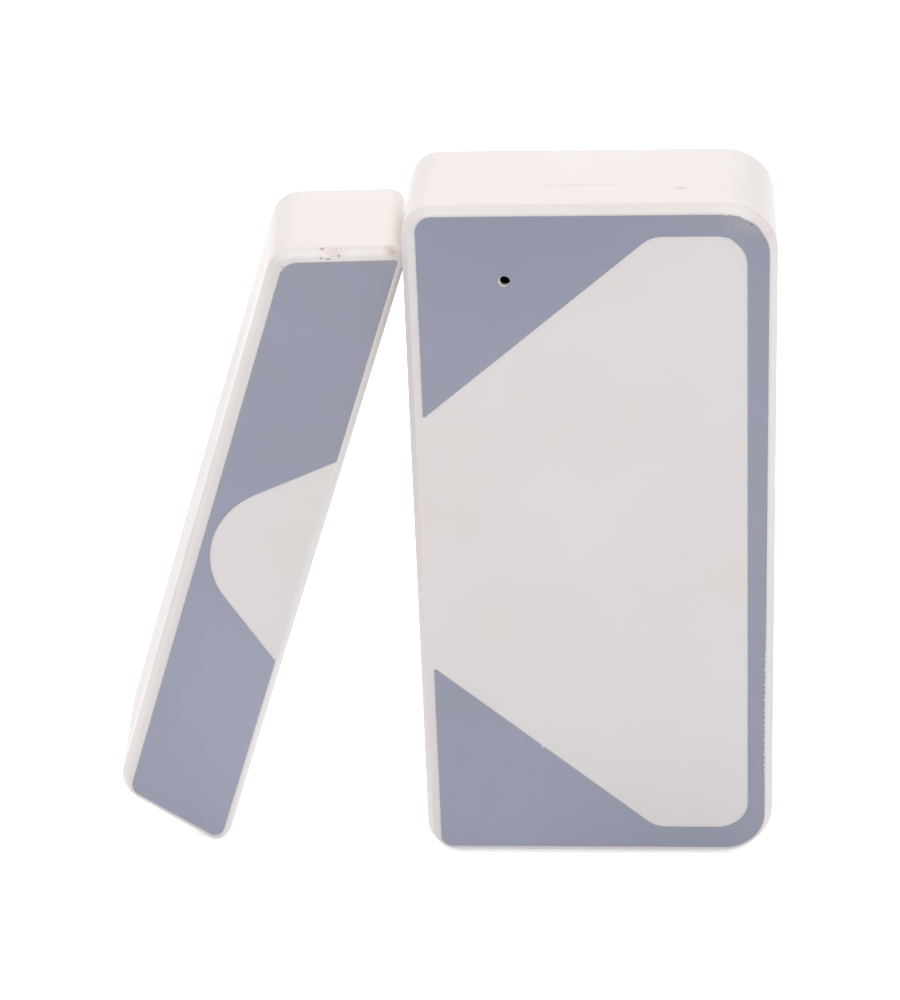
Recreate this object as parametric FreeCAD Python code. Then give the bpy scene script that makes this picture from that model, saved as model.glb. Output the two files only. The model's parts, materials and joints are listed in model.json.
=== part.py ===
import FreeCAD, Part
import math
import os
from dataclasses import dataclass

Vector = FreeCAD.Vector

# Door and window contact in two pieces: a sensor housing that stands upright and a narrow
# magnet housing that leans on its left wall.
# Millimetres. X runs across the face, to the right. Y runs from the face to the back. Z is up.
# The origin is the centre of the sensor housing's foot.

# Both housings
rim_inset = 0.65         # bevel round the face, measured in the face's plane
rim_depth = 1.3          # the same bevel, measured along Y
rim_round = 0.25         # softening of the bevel's two edges
back_round = 0.3         # softening of the shell's outer edge at the back
least_round = 0.25       # smallest corner left where an outline is moved inwards
cover_thickness = 1.5
cover_ledge = 0.7        # width of the step that a back cover sits on
cover_clearance = 0.15   # between a cover's edge and the shell

# Sensor shell
sensor_depth = 15.0
sensor_width = 35.0
sensor_height = 71.0
sensor_wall = 1.6
sensor_face_wall = 1.6
sensor_round_left = 3.0  # corners beside the magnet housing
sensor_round_right = 4.9
lamp_hole_r = 0.55
lamp_from_left = 9.65
lamp_from_top = 7.18
lamp_lip = 0.5           # wall left round the lamp hole
lamp_recess_r = 1.4      # of the thinned spot behind it
mark_depth = 0.1         # shallow mould marks in the top wall
long_mark_x = -0.8
long_mark_y = -1.65
long_mark_length = 7.5
long_mark_width = 0.25
short_mark_x = 8.6
short_mark_y = -2.5
short_mark_length = 1.4
short_mark_width = 0.6

# Magnet shell
magnet_depth = 15.6
magnet_width = 12.4
magnet_shortfall = 0.8   # of its long side against the sensor's height
magnet_wall = 1.4
magnet_face_wall = 1.4
magnet_taper = 17.6      # degrees that each slanted end falls away from the long side
magnet_round_right = 1.6
magnet_round_left = 3.0

# Pose of the magnet housing
lean_angle = 18.25       # degrees from upright, top towards the sensor
turn_angle = 4.1         # degrees about the vertical
magnet_setback = 1.6     # of its face behind the sensor's, before the turn
touch_gap = 0.02

# Printed faces: a film with a pale field left open, one triangle across both housings
print_thickness = 0.1
sensor_print_top_margin = 0.7
sensor_print_foot_margin = 0.9
sensor_print_left_margin = 1.4
sensor_print_right_margin = 0.8
sensor_print_round_left = 1.6
sensor_print_round_right = 4.0
magnet_print_end_margin = 1.03
magnet_print_left_margin = 1.2
magnet_print_right_margin = 0.8
magnet_print_round_top = 1.8
magnet_print_round_bottom = 1.4
magnet_print_round_foot = 1.3
magnet_print_point = 0.3
field_half = 12.56       # half height of the pale field at the sensor's left wall
field_flat = 9.08        # length of its flat ends on the sensor
field_rise = 0.28        # of the field on the sensor above mid height
field_end_margin = 3.13  # before that rise
field_right_margin_foot = 2.47
field_right_margin_top = 2.87
field_round = 3.0
field_joint_gap = 0.25   # between the two housings where the field runs on straight
field_nose_strip = 0.93  # of print left between the nose and the print's left edge

# Snap hooks on the covers
snap_width = 6.0
snap_thickness = 1.0
snap_reach = 3.0         # from the cover's inner face towards the front
snap_catch = 0.4
snap_ramp = 0.9
snap_catch_drop = 1.4    # of the catch below the ledge
snap_clearance = 0.1
sensor_snap_spacing = 34.5
magnet_snap_spacing = 46.0

# Mounting tape
tape_thickness = 0.8
tape_recess = 0.3
sensor_tape_margin = 4.0
magnet_tape_margin = 2.6
tape_round = 1.5

# Circuit board and what holds it
board_thickness = 1.2
board_clearance = 0.5    # between the board's edge and the shell
post_height = 2.0        # from the face wall's inner side to the board
post_r = 1.25
post_inset = 2.3         # of the corner posts from the inner walls
boss_r = 2.1
screw_r = 1.0
screw_hole_clearance = 0.2
screw_grip = 2.6         # length of thread below the board
screw_tip_gap = 0.2
screw_head_r = 1.9
screw_head_height = 1.2
screw_cross_width = 0.5
screw_cross_depth = 0.6
screw_from_side = 7.0    # of the upper screw from the right wall, of the lower from the left
screw_from_end = 12.0    # of the upper screw
lower_screw_from_side = 8.5
lower_screw_from_end = 20.0

# Battery and contacts
battery_r = 3.95
battery_nub_r = 1.7
battery_nub_height = 0.5
battery_edge_round = 0.4
battery_lift = 0.2       # of the contacts above the shell's rounded corners
contact_thickness = 0.3
contact_width = 6.4
contact_foot = 2.4
contact_height = 7.4
contact_bend = 0.5
contact_to_battery = 0.1
spring_room = 3.2        # for the left contact, between the battery and the wall plate
spring_travel = 2.4
spring_pad = 2.0
spring_tail = 1.4
cradle_spacing = 14.0
cradle_thickness = 1.2
cradle_wall = 1.2
cradle_reach = 3.4
cradle_clearance = 0.15

# Reed switch
reed_from_left = 4.6
reed_glass_r = 1.1
reed_glass_length = 14.0
reed_glass_wall = 0.25
reed_seal_length = 2.0
reed_lift = 0.3          # of the glass above the board
reed_lead_r = 0.25
reed_lead_span = 21.0    # between the two bends
reed_blade_width = 0.9
reed_blade_thickness = 0.2
reed_blade_overlap = 1.2
reed_blade_gap = 0.1
lead_bend = 0.7
lead_tail = 0.8          # of a soldered lead beyond the board
lead_hole_clearance = 0.1

# Lamp and circuit parts: bodies as length, width, height, places from the board's centre
lamp_base = (1.6, 0.8, 0.3)
lamp_lens = (1.0, 0.7, 0.5)
encoder_body = (8.7, 3.9, 1.5)
encoder_place = (3.6, -2.5)
encoder_pins = 7
encoder_pitch = 1.27
transistor_body = (2.9, 1.3, 1.0)
transistor_place = (3.6, 9.0)
transistor_pitch = 0.95
pin_width = 0.4
pin_thickness = 0.2
pin_bend = 0.15
pin_out = 0.5
pin_foot = 0.6
can_place = (-4.7, 9.0)
can_r = 4.1
can_height = 3.2
can_flange_r = 4.6
can_flange_height = 0.5
can_round = 0.5
resistor_body = (2.0, 1.25, 0.5)
resistor_place = (0.0, -11.5)
resistor_spacing = 2.6
resistor_count = 6
capacitor_body = (1.6, 0.8, 0.8)
capacitor_place = (-4.0, 18.5)
capacitor_spacing = 2.3
capacitor_count = 4
chip_cap_length = 0.35
chip_cap_lip = 0.05
choke_place = (3.6, 15.0)
choke_flange_r = 2.2
choke_flange_height = 0.6
choke_waist_r = 1.7
choke_height = 3.0
antenna_from_right = 4.0
antenna_wire_r = 0.4
antenna_length = 30.0
antenna_rise = 4.0       # of the wire above the board
antenna_bend = 1.5

# Bar magnet and its seat
bar_length = 36.0
bar_width = 6.6
bar_depth = 5.0
bar_edge = 0.4
bar_clearance = 0.15
seat_wall = 0.9
seat_height = 3.5
press_rib_spacing = 20.0
press_rib_thickness = 1.2
press_rib_width = 5.0
press_rib_gap = 0.1

# Worked out from the above
front = -sensor_depth / 2
sensor_middle = sensor_height / 2
magnet_height = sensor_height - magnet_shortfall
magnet_middle = magnet_height / 2
board_front = front + sensor_face_wall + post_height
board_back = board_front + board_thickness
sensor_inner_right = sensor_width / 2 - sensor_wall
battery_y = board_back + contact_thickness + contact_to_battery + battery_r
battery_right = sensor_inner_right - contact_thickness
battery_length = 2 * battery_right - spring_room
battery_left = battery_right - battery_length
battery_z = sensor_round_right + battery_lift + contact_width / 2
taper_rise = math.tan(math.radians(magnet_taper))
field_reach = sensor_middle - field_end_margin
field_right_margin = (field_right_margin_foot + field_right_margin_top) / 2
field_slant = sensor_width - field_right_margin - field_flat
field_slope = (field_reach - field_half) / field_slant
lamp_x = lamp_from_left - sensor_width / 2
lamp_z = sensor_height - lamp_from_top
reed_x = reed_from_left - sensor_width / 2
antenna_x = sensor_width / 2 - antenna_from_right
screw_places = (
    (sensor_width / 2 - screw_from_side, sensor_height - screw_from_end),
    (lower_screw_from_side - sensor_width / 2, lower_screw_from_end),
)


@dataclass(frozen=True)
class Housing:
    """One moulded housing: its outline seen from the front, counter-clockwise, and its walls."""
    corners: tuple
    radii: tuple
    middle: float
    back: float
    wall: float
    face_wall: float
    left: float
    right: float
    snap_spacing: float
    tape_margin: float

    @property
    def ledge_y(self):
        """Depth of the step that the back cover sits on."""
        return self.back - cover_thickness


sensor = Housing(
    corners=(
        (-sensor_width / 2, 0.0),
        (sensor_width / 2, 0.0),
        (sensor_width / 2, sensor_height),
        (-sensor_width / 2, sensor_height),
    ),
    radii=(sensor_round_left, sensor_round_right, sensor_round_right, sensor_round_left),
    middle=sensor_middle,
    back=front + sensor_depth,
    wall=sensor_wall,
    face_wall=sensor_face_wall,
    left=-sensor_width / 2,
    right=sensor_width / 2,
    snap_spacing=sensor_snap_spacing,
    tape_margin=sensor_tape_margin,
)

# The magnet housing has a frame of its own: its long side is x = 0, from z = 0 to the height.
magnet = Housing(
    corners=(
        (0.0, 0.0),
        (0.0, magnet_height),
        (-magnet_width, magnet_height - magnet_width * taper_rise),
        (-magnet_width, magnet_width * taper_rise),
    ),
    radii=(magnet_round_right, magnet_round_right, magnet_round_left, magnet_round_left),
    middle=magnet_middle,
    back=front + magnet_depth,
    wall=magnet_wall,
    face_wall=magnet_face_wall,
    left=-magnet_width,
    right=0.0,
    snap_spacing=magnet_snap_spacing,
    tape_margin=magnet_tape_margin,
)


# Outlines and simple solids

def rounded_path(points, radii, closed=False):
    """Wire of straight runs through the points, with a tangent arc at each rounded corner."""
    count = len(points)
    turns = []
    for index, corner in enumerate(points):
        at_end = not closed and index in (0, count - 1)
        if at_end or radii[index] == 0:
            turns.append((corner, None, corner))
            continue
        before = (points[index - 1] - corner).normalize()
        after = (points[(index + 1) % count] - corner).normalize()
        half_angle = before.getAngle(after) / 2
        inwards = (before + after).normalize()
        centre = corner + inwards * (radii[index] / math.sin(half_angle))
        run = radii[index] / math.tan(half_angle)
        turns.append((corner + before * run, centre - inwards * radii[index], corner + after * run))
    edges = []
    for index, (start, bulge, end) in enumerate(turns):
        if bulge is not None:
            edges.append(Part.Arc(start, bulge, end).toShape())
        if closed or index < count - 1:
            following = turns[(index + 1) % count][0]
            if (following - end).Length > 1e-6:
                edges.append(Part.LineSegment(end, following).toShape())
    return Part.Wire(edges)


def moved_in(corners, insets):
    """Corners of a convex outline after each side has moved inwards by its own inset."""
    count = len(corners)
    lines = []
    for index in range(count):
        x0, z0 = corners[index]
        x1, z1 = corners[(index + 1) % count]
        length = math.hypot(x1 - x0, z1 - z0)
        across = (-(z1 - z0) / length, (x1 - x0) / length)
        lines.append((across, across[0] * x0 + across[1] * z0 + insets[index]))
    moved = []
    for index in range(count):
        (a0, b0), c0 = lines[index - 1]
        (a1, b1), c1 = lines[index]
        scale = a0 * b1 - a1 * b0
        moved.append(((c0 * b1 - c1 * b0) / scale, (a0 * c1 - a1 * c0) / scale))
    return moved


def outline_at(corners, radii, y):
    """Closed outline in the upright plane at depth y."""
    return rounded_path([Vector(x, y, z) for x, z in corners], radii, closed=True)


def housing_outline(housing, y, inset=0.0):
    """The housing's outline at depth y, moved inwards all round."""
    corners = moved_in(housing.corners, [inset] * len(housing.corners))
    radii = [max(radius - inset, least_round) for radius in housing.radii]
    return outline_at(corners, radii, y)


def prism(wire, length):
    """Solid that runs from a closed outline towards the back."""
    return Part.Face(wire).extrude(Vector(0, length, 0))


def housing_prism(housing, inset, y_from, y_to):
    """Solid of the housing's outline between two depths."""
    return prism(housing_outline(housing, y_from, inset), y_to - y_from)


def block(x_range, y_range, z_range):
    """Box between the two ends given along each axis, in either order."""
    low = Vector(min(x_range), min(y_range), min(z_range))
    high = Vector(max(x_range), max(y_range), max(z_range))
    return Part.makeBox(high.x - low.x, high.y - low.y, high.z - low.z, low)


def centred_block(x, z, size, y_from):
    """Box of length, width and height that stands on the plane y_from, centred at x, z."""
    length, width, rise = size
    return block((x - length / 2, x + length / 2), (y_from, y_from + rise),
                 (z - width / 2, z + width / 2))


def rod(x, z, radius, y_from, y_to):
    """Cylinder along Y."""
    return Part.makeCylinder(radius, y_to - y_from, Vector(x, y_from, z), Vector(0, 1, 0))


def joined(pieces):
    """One solid made of pieces that meet."""
    return pieces[0].multiFuse(pieces[1:]).removeSplitter()


def edges_at_depth(shape, y):
    """Edges that lie wholly in the upright plane at depth y."""
    return [edge for edge in shape.Edges
            if abs(edge.BoundBox.YMin - y) < 1e-6 and abs(edge.BoundBox.YMax - y) < 1e-6]


def swept_strip(points, radii, thickness, width):
    """Strip bent along a path in a plane of constant z, as wide as stated along Z."""
    path = rounded_path(points, radii)
    along = (points[1] - points[0]).normalize()
    side = along.cross(Vector(0, 0, 1)) * (thickness / 2)
    rise = Vector(0, 0, width / 2)
    start = points[0]
    section = Part.makePolygon([start + side + rise, start - side + rise, start - side - rise,
                                start + side - rise, start + side + rise])
    return path.makePipeShell([section], True, False)


def swept_wire(points, radii, wire_r):
    """Round wire bent along a path."""
    path = rounded_path(points, radii)
    section = Part.Wire(Part.Circle(points[0], points[1] - points[0], wire_r).toShape())
    return path.makePipeShell([section], True, False)


# Housings

def housing_body(housing):
    """Outer form of a front shell, solid, with the softened bevel round its face."""
    shoulder = front + rim_depth
    trunk = housing_prism(housing, 0.0, shoulder, housing.back)
    bevel = Part.makeLoft(
        [housing_outline(housing, shoulder), housing_outline(housing, front, rim_inset)], True, True)
    body = joined([trunk, bevel])
    soft = edges_at_depth(body, front) + edges_at_depth(body, shoulder)
    body = body.makeFillet(rim_round, soft)
    return body.makeFillet(back_round, edges_at_depth(body, housing.back))


def snap_side(housing, side):
    """Inner side of the left (-1) or right (+1) wall."""
    if side < 0:
        return housing.left + housing.wall
    return housing.right - housing.wall


def snap_pocket(housing, side, z):
    """Pocket in a side wall that takes one hook of the cover."""
    wall_x = snap_side(housing, side)
    catch_y = housing.ledge_y - snap_catch_drop
    reach = snap_width / 2 + 2 * snap_clearance
    return block(
        (wall_x - side * snap_clearance, wall_x + side * snap_catch),
        (catch_y - snap_ramp - 2 * snap_clearance, catch_y + snap_clearance / 2),
        (z - reach, z + reach))


def snap_hook(housing, side, z):
    """Springy tab on the cover with a ramped catch at its outer side."""
    outer_x = snap_side(housing, side) - side * cover_clearance
    catch_y = housing.ledge_y - snap_catch_drop
    tab = block((outer_x, outer_x - side * snap_thickness),
                (housing.ledge_y - snap_reach, housing.ledge_y),
                (z - snap_width / 2, z + snap_width / 2))
    bottom = z - snap_width / 2
    section = Part.makePolygon([
        Vector(outer_x, catch_y, bottom),
        Vector(outer_x + side * snap_catch, catch_y, bottom),
        Vector(outer_x, catch_y - snap_ramp, bottom),
        Vector(outer_x, catch_y, bottom)])
    return tab.fuse(Part.Face(section).extrude(Vector(0, 0, snap_width)))


def snap_places(housing):
    """Every side and height that has a hook and its pocket."""
    half = housing.snap_spacing / 2
    return [(side, housing.middle + end * half) for side in (-1, 1) for end in (-1, 1)]


def hollow_shell(housing):
    """Front shell with its cavity, the step for the cover and the snap pockets."""
    cavity = housing_prism(housing, housing.wall, front + housing.face_wall, housing.back)
    step = housing_prism(housing, housing.wall - cover_ledge, housing.ledge_y, housing.back)
    pockets = [snap_pocket(housing, side, z) for side, z in snap_places(housing)]
    return housing_body(housing).cut([cavity, step] + pockets)


def tape_outline(housing, y, clearance=0.0):
    """Outline of the mounting tape, or of its recess with a clearance."""
    inset = housing.tape_margin - clearance
    corners = moved_in(housing.corners, [inset] * len(housing.corners))
    return outline_at(corners, [tape_round + clearance] * len(corners), y)


def plain_cover(housing):
    """Back cover that drops into the shell's step, with hooks and a recess for the tape."""
    inset = housing.wall - cover_ledge + cover_clearance
    plate = housing_prism(housing, inset, housing.ledge_y, housing.back)
    recess_floor = housing.back - tape_recess
    recess = prism(tape_outline(housing, recess_floor, cover_clearance), tape_recess)
    hooks = [snap_hook(housing, side, z) for side, z in snap_places(housing)]
    return joined([plate.cut(recess)] + hooks)


def mount_tape(housing):
    """Foam pad in the cover's recess."""
    return prism(tape_outline(housing, housing.back - tape_recess), tape_thickness)


def printed_face(corners, margins, radii, field):
    """Thin print on a housing's face, with the pale field left open."""
    sheet_front = front - print_thickness
    sheet = prism(outline_at(moved_in(corners, margins), radii, sheet_front), print_thickness)
    return sheet.cut(field)


# Sensor pieces

def corner_posts():
    """Posts in the four corners that carry the board."""
    x = sensor_inner_right - post_inset
    heights = (sensor_wall + post_inset, sensor_height - sensor_wall - post_inset)
    return [rod(side * x, z, post_r, front + sensor_face_wall, board_front)
            for side in (-1, 1) for z in heights]


def top_mark(x, y, length, width):
    """Shallow groove with round ends in the top wall, along X."""
    floor = sensor_height - mark_depth
    half = (length - width) / 2
    ends = [Part.makeCylinder(width / 2, mark_depth, Vector(x + shift, y, floor))
            for shift in (-half, half)]
    bar = block((x - half, x + half), (y - width / 2, y + width / 2), (floor, sensor_height))
    return joined([bar] + ends)


def sensor_front_shell():
    """Sensor shell with posts, screw bosses, lamp hole and mould marks."""
    inner_face = front + sensor_face_wall
    bosses = [rod(x, z, boss_r, inner_face, board_front) for x, z in screw_places]
    pilots = [rod(x, z, screw_r, board_front - screw_grip - screw_tip_gap, board_front)
              for x, z in screw_places]
    lamp_hole = rod(lamp_x, lamp_z, lamp_hole_r, front, inner_face)
    lamp_recess = rod(lamp_x, lamp_z, lamp_recess_r, front + lamp_lip, inner_face)
    marks = [
        top_mark(long_mark_x, long_mark_y, long_mark_length, long_mark_width),
        top_mark(short_mark_x, short_mark_y, short_mark_length, short_mark_width),
    ]
    shell = joined([hollow_shell(sensor)] + corner_posts() + bosses)
    return shell.cut(pilots + [lamp_hole, lamp_recess] + marks)


def battery_cradle(x):
    """Rib on the cover that holds the battery down, cut to its round."""
    half = battery_r + cradle_clearance + cradle_wall
    rib = block((x - cradle_thickness / 2, x + cradle_thickness / 2),
                (sensor.ledge_y - cradle_reach, sensor.ledge_y), (battery_z - half, battery_z + half))
    hollow = Part.makeCylinder(battery_r + cradle_clearance, 2 * cradle_thickness,
                               Vector(x - cradle_thickness, battery_y, battery_z), Vector(1, 0, 0))
    return rib.cut(hollow)


def sensor_back_cover():
    """Sensor cover with two battery cradles."""
    centre = (battery_left + battery_right) / 2
    cradles = [battery_cradle(centre + side * cradle_spacing / 2) for side in (-1, 1)]
    return joined([plain_cover(sensor)] + cradles)


def sensor_face_print():
    """Print with the pale field open to the left, and the lamp hole."""
    centre = sensor_middle + field_rise
    shoulder = sensor.left + field_slant
    field = outline_at(
        [(sensor.left, centre - field_half),
         (shoulder, centre - field_reach),
         (sensor.right - field_right_margin_foot, centre - field_reach),
         (sensor.right - field_right_margin_top, centre + field_reach),
         (shoulder, centre + field_reach),
         (sensor.left, centre + field_half)],
        [0, field_round, field_round, field_round, field_round, 0],
        front - print_thickness)
    sheet = printed_face(
        sensor.corners,
        (sensor_print_foot_margin, sensor_print_right_margin,
         sensor_print_top_margin, sensor_print_left_margin),
        (sensor_print_round_left, sensor_print_round_right,
         sensor_print_round_right, sensor_print_round_left),
        prism(field, print_thickness))
    return sheet.cut(rod(lamp_x, lamp_z, lamp_hole_r, front - print_thickness, front))


def on_board(place):
    """Point of the face from a place counted from the board's centre."""
    return place[0], sensor_middle + place[1]


def lead_hole(x, z, wire_r):
    """Hole through the board for a soldered lead."""
    return rod(x, z, wire_r + lead_hole_clearance, board_front, board_back)


def reed_lead_heights():
    """Heights at which the reed switch's two leads go through the board."""
    return sensor_middle - reed_lead_span / 2, sensor_middle + reed_lead_span / 2


def antenna_heights():
    """Heights at which the antenna's two ends go through the board."""
    return sensor_middle - antenna_length / 2, sensor_middle + antenna_length / 2


def circuit_board():
    """Board that fills the shell, with holes for the screws and leads."""
    board = housing_prism(sensor, sensor_wall + board_clearance, board_front, board_back)
    holes = [rod(x, z, screw_r + screw_hole_clearance, board_front, board_back)
             for x, z in screw_places]
    holes += [lead_hole(reed_x, z, reed_lead_r) for z in reed_lead_heights()]
    holes += [lead_hole(antenna_x, z, antenna_wire_r) for z in antenna_heights()]
    return board.cut(holes)


def board_screw(x, z):
    """Pan head screw with a cross slot."""
    shank = rod(x, z, screw_r, board_front - screw_grip, board_back)
    head = rod(x, z, screw_head_r, board_back, board_back + screw_head_height)
    rim = edges_at_depth(head, board_back + screw_head_height)
    head = head.makeFillet(screw_head_height / 2, rim)
    top = board_back + screw_head_height
    long_half = screw_head_r * 0.6
    short_half = screw_cross_width / 2
    slots = [block((x - a, x + a), (top - screw_cross_depth, top), (z - b, z + b))
             for a, b in ((long_half, short_half), (short_half, long_half))]
    return joined([shank, head]).cut(slots)


def board_screws():
    """The two screws that hold the board."""
    return Part.makeCompound([board_screw(x, z) for x, z in screw_places])


def battery_cell():
    """Cylinder cell along X, with its tip to the right."""
    can_length = battery_length - battery_nub_height
    along = Vector(1, 0, 0)
    can = Part.makeCylinder(battery_r, can_length, Vector(battery_left, battery_y, battery_z), along)
    rims = [edge for edge in can.Edges if edge.BoundBox.XLength < 1e-6]
    can = can.makeFillet(battery_edge_round, rims)
    nub = Part.makeCylinder(battery_nub_r, battery_nub_height,
                            Vector(battery_left + can_length, battery_y, battery_z), along)
    return joined([can, nub])


def contact_start(side):
    """Foot end and bend of a battery contact on the left (-1) or right (+1)."""
    y = board_back + contact_thickness / 2
    bend_x = side * (sensor_inner_right - contact_thickness / 2)
    return [Vector(bend_x - side * contact_foot, y, battery_z), Vector(bend_x, y, battery_z)]


def battery_plate_contact():
    """Angle plate against the right wall that meets the battery's tip."""
    points = contact_start(1)
    points.append(points[-1] + Vector(0, contact_height, 0))
    return swept_strip(points, [0, contact_bend, 0], contact_thickness, contact_width)


def battery_spring_contact():
    """Leaf against the left wall, folded over and bowed out to press on the battery."""
    points = contact_start(-1)
    upright_x = points[-1].x
    top_y = points[-1].y + contact_height
    pad_x = battery_left - contact_thickness / 2
    tail_x = upright_x + contact_thickness + contact_bend
    points += [
        Vector(upright_x, top_y, battery_z),
        Vector(upright_x + spring_travel / 2, top_y, battery_z),
        Vector(pad_x, battery_y + spring_pad / 2, battery_z),
        Vector(pad_x, battery_y - spring_pad / 2, battery_z),
        Vector(tail_x, battery_y - spring_pad / 2 - spring_tail, battery_z),
    ]
    radii = [0] + [contact_bend] * 5 + [0]
    return swept_strip(points, radii, contact_thickness, contact_width)


def reed_lead(side):
    """One reed: bent lead, round stem and flat blade, below (-1) or above (+1) the middle."""
    y = board_back + reed_lift + reed_glass_r
    bend_z = sensor_middle + side * reed_lead_span / 2
    blade_root = sensor_middle + side * (reed_glass_length / 2 - reed_seal_length)
    blade_tip = sensor_middle - side * reed_blade_overlap / 2
    stem = swept_wire(
        [Vector(reed_x, y, blade_root), Vector(reed_x, y, bend_z),
         Vector(reed_x, board_front - lead_tail, bend_z)],
        [0, lead_bend, 0], reed_lead_r)
    offset = side * (reed_blade_gap + reed_blade_thickness) / 2
    blade = block((reed_x - reed_blade_width / 2, reed_x + reed_blade_width / 2),
                  (y + offset - reed_blade_thickness / 2, y + offset + reed_blade_thickness / 2),
                  (blade_root + side * reed_lead_r, blade_tip))
    return joined([stem, blade])


def reed_switch_leads():
    """The two reeds, which overlap in the middle with a gap between them."""
    return Part.makeCompound([reed_lead(side) for side in (-1, 1)])


def reed_switch_glass():
    """Glass tube sealed onto the two leads."""
    y = board_back + reed_lift + reed_glass_r
    up = Vector(0, 0, 1)
    bottom = Vector(reed_x, y, sensor_middle - reed_glass_length / 2)
    tube = Part.makeCylinder(reed_glass_r, reed_glass_length, bottom, up)
    rims = [edge for edge in tube.Edges if edge.BoundBox.ZLength < 1e-6]
    tube = tube.makeFillet(reed_glass_r * 0.7, rims)
    hollow = Part.makeCylinder(reed_glass_r - reed_glass_wall,
                               reed_glass_length - 2 * reed_seal_length,
                               bottom + up * reed_seal_length, up)
    return tube.cut([hollow] + reed_switch_leads().Solids)


def status_led():
    """Lamp on the board's front side, behind the hole in the face."""
    length, width, rise = lamp_base
    lens_length, lens_width, lens_rise = lamp_lens
    base = centred_block(lamp_x, lamp_z, lamp_base, board_front - rise)
    lens = Part.makeCylinder(lens_width / 2, lens_rise,
                             Vector(lamp_x, board_front - rise - lens_rise, lamp_z), Vector(0, 1, 0))
    body = centred_block(lamp_x, lamp_z, (lens_length, width, lens_rise / 2),
                         board_front - rise - lens_rise / 2)
    return joined([base, body, lens])


def gull_pin(x, z, side, body_width, body_height):
    """Pin of a chip that leaves its side at mid height and bends down to the board."""
    root_z = z + side * (body_width / 2 - pin_thickness)
    knee_z = z + side * (body_width / 2 + pin_out / 2)
    toe_z = knee_z + side * (pin_out / 2 + pin_foot)
    middle_y = board_back + body_height / 2
    foot_y = board_back + pin_thickness / 2
    points = [Vector(x, middle_y, root_z), Vector(x, middle_y, knee_z),
              Vector(x, foot_y, knee_z), Vector(x, foot_y, toe_z)]
    path = rounded_path(points, [0, pin_bend, pin_bend, 0])
    section = Part.makePolygon([
        Vector(x + a * pin_width / 2, middle_y + b * pin_thickness / 2, root_z)
        for a, b in ((1, 1), (-1, 1), (-1, -1), (1, -1), (1, 1))])
    return path.makePipeShell([section], True, False)


def encoder_chip():
    """Coding chip with a row of pins along each long side."""
    x, z = on_board(encoder_place)
    length, width, rise = encoder_body
    body = centred_block(x, z, (length, width, rise - pin_thickness), board_back + pin_thickness)
    first = x - encoder_pitch * (encoder_pins - 1) / 2
    pins = [gull_pin(first + index * encoder_pitch, z, side, width, rise)
            for side in (-1, 1) for index in range(encoder_pins)]
    return joined([body] + pins)


def rf_transistor():
    """Small three-pin transistor: two pins on one side and one on the other."""
    x, z = on_board(transistor_place)
    length, width, rise = transistor_body
    body = centred_block(x, z, (length, width, rise - pin_thickness), board_back + pin_thickness)
    pins = [
        gull_pin(x - transistor_pitch, z, -1, width, rise),
        gull_pin(x + transistor_pitch, z, -1, width, rise),
        gull_pin(x, z, 1, width, rise),
    ]
    return joined([body] + pins)


def saw_resonator():
    """Round metal can with a flange."""
    x, z = on_board(can_place)
    flange = rod(x, z, can_flange_r, board_back, board_back + can_flange_height)
    can = rod(x, z, can_r, board_back, board_back + can_height)
    can = can.makeFillet(can_round, edges_at_depth(can, board_back + can_height))
    return joined([flange, can])


def chip_part(x, z, size):
    """Surface-mount part along Z, with metal caps that stand slightly proud."""
    length, width, rise = size
    body_size = (width, length, rise - chip_cap_lip)
    body = centred_block(x, z, body_size, board_back)
    shift = (length - chip_cap_length) / 2
    cap_size = (width + 2 * chip_cap_lip, chip_cap_length + 2 * chip_cap_lip, rise)
    caps = [centred_block(x, z + side * shift, cap_size, board_back) for side in (-1, 1)]
    return joined([body] + caps)


def chip_row(place, spacing, count, size):
    """Row of like surface-mount parts along X, centred on its place."""
    x, z = on_board(place)
    first = x - spacing * (count - 1) / 2
    return Part.makeCompound([chip_part(first + index * spacing, z, size) for index in range(count)])


def choke_coil():
    """Drum choke: a wound waist between two flanges, standing on the board."""
    x, z = on_board(choke_place)
    top = board_back + choke_height
    waist = rod(x, z, choke_waist_r, board_back, top)
    foot = rod(x, z, choke_flange_r, board_back, board_back + choke_flange_height)
    cap = rod(x, z, choke_flange_r, top - choke_flange_height, top)
    return joined([waist, foot, cap])


def loop_antenna():
    """Wire bridge along the board's right edge, with both ends through the board."""
    low, high = antenna_heights()
    tail_y = board_front - lead_tail
    wire_y = board_back + antenna_rise
    points = [Vector(antenna_x, tail_y, low), Vector(antenna_x, wire_y, low),
              Vector(antenna_x, wire_y, high), Vector(antenna_x, tail_y, high)]
    return swept_wire(points, [0, antenna_bend, antenna_bend, 0], antenna_wire_r)


# Magnet pieces, in the magnet housing's own frame

def bar_seat():
    """Frame of ribs on the face wall that holds the bar magnet."""
    inner_face = front + magnet_face_wall
    centre_x = -magnet_width / 2
    half_x = bar_width / 2 + bar_clearance
    half_z = bar_length / 2 + bar_clearance
    depths = (inner_face, inner_face + seat_height)
    frame = block((centre_x - half_x - seat_wall, centre_x + half_x + seat_wall), depths,
                  (magnet_middle - half_z - seat_wall, magnet_middle + half_z + seat_wall))
    return frame.cut(block((centre_x - half_x, centre_x + half_x), depths,
                           (magnet_middle - half_z, magnet_middle + half_z)))


def magnet_front_shell():
    """Magnet shell with the bar's seat."""
    return joined([hollow_shell(magnet), bar_seat()])


def magnet_bar():
    """Bar magnet with broken edges, flat on the face wall."""
    inner_face = front + magnet_face_wall
    bar = centred_block(-magnet_width / 2, magnet_middle, (bar_width, bar_length, bar_depth), inner_face)
    return bar.makeChamfer(bar_edge, bar.Edges)


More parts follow.
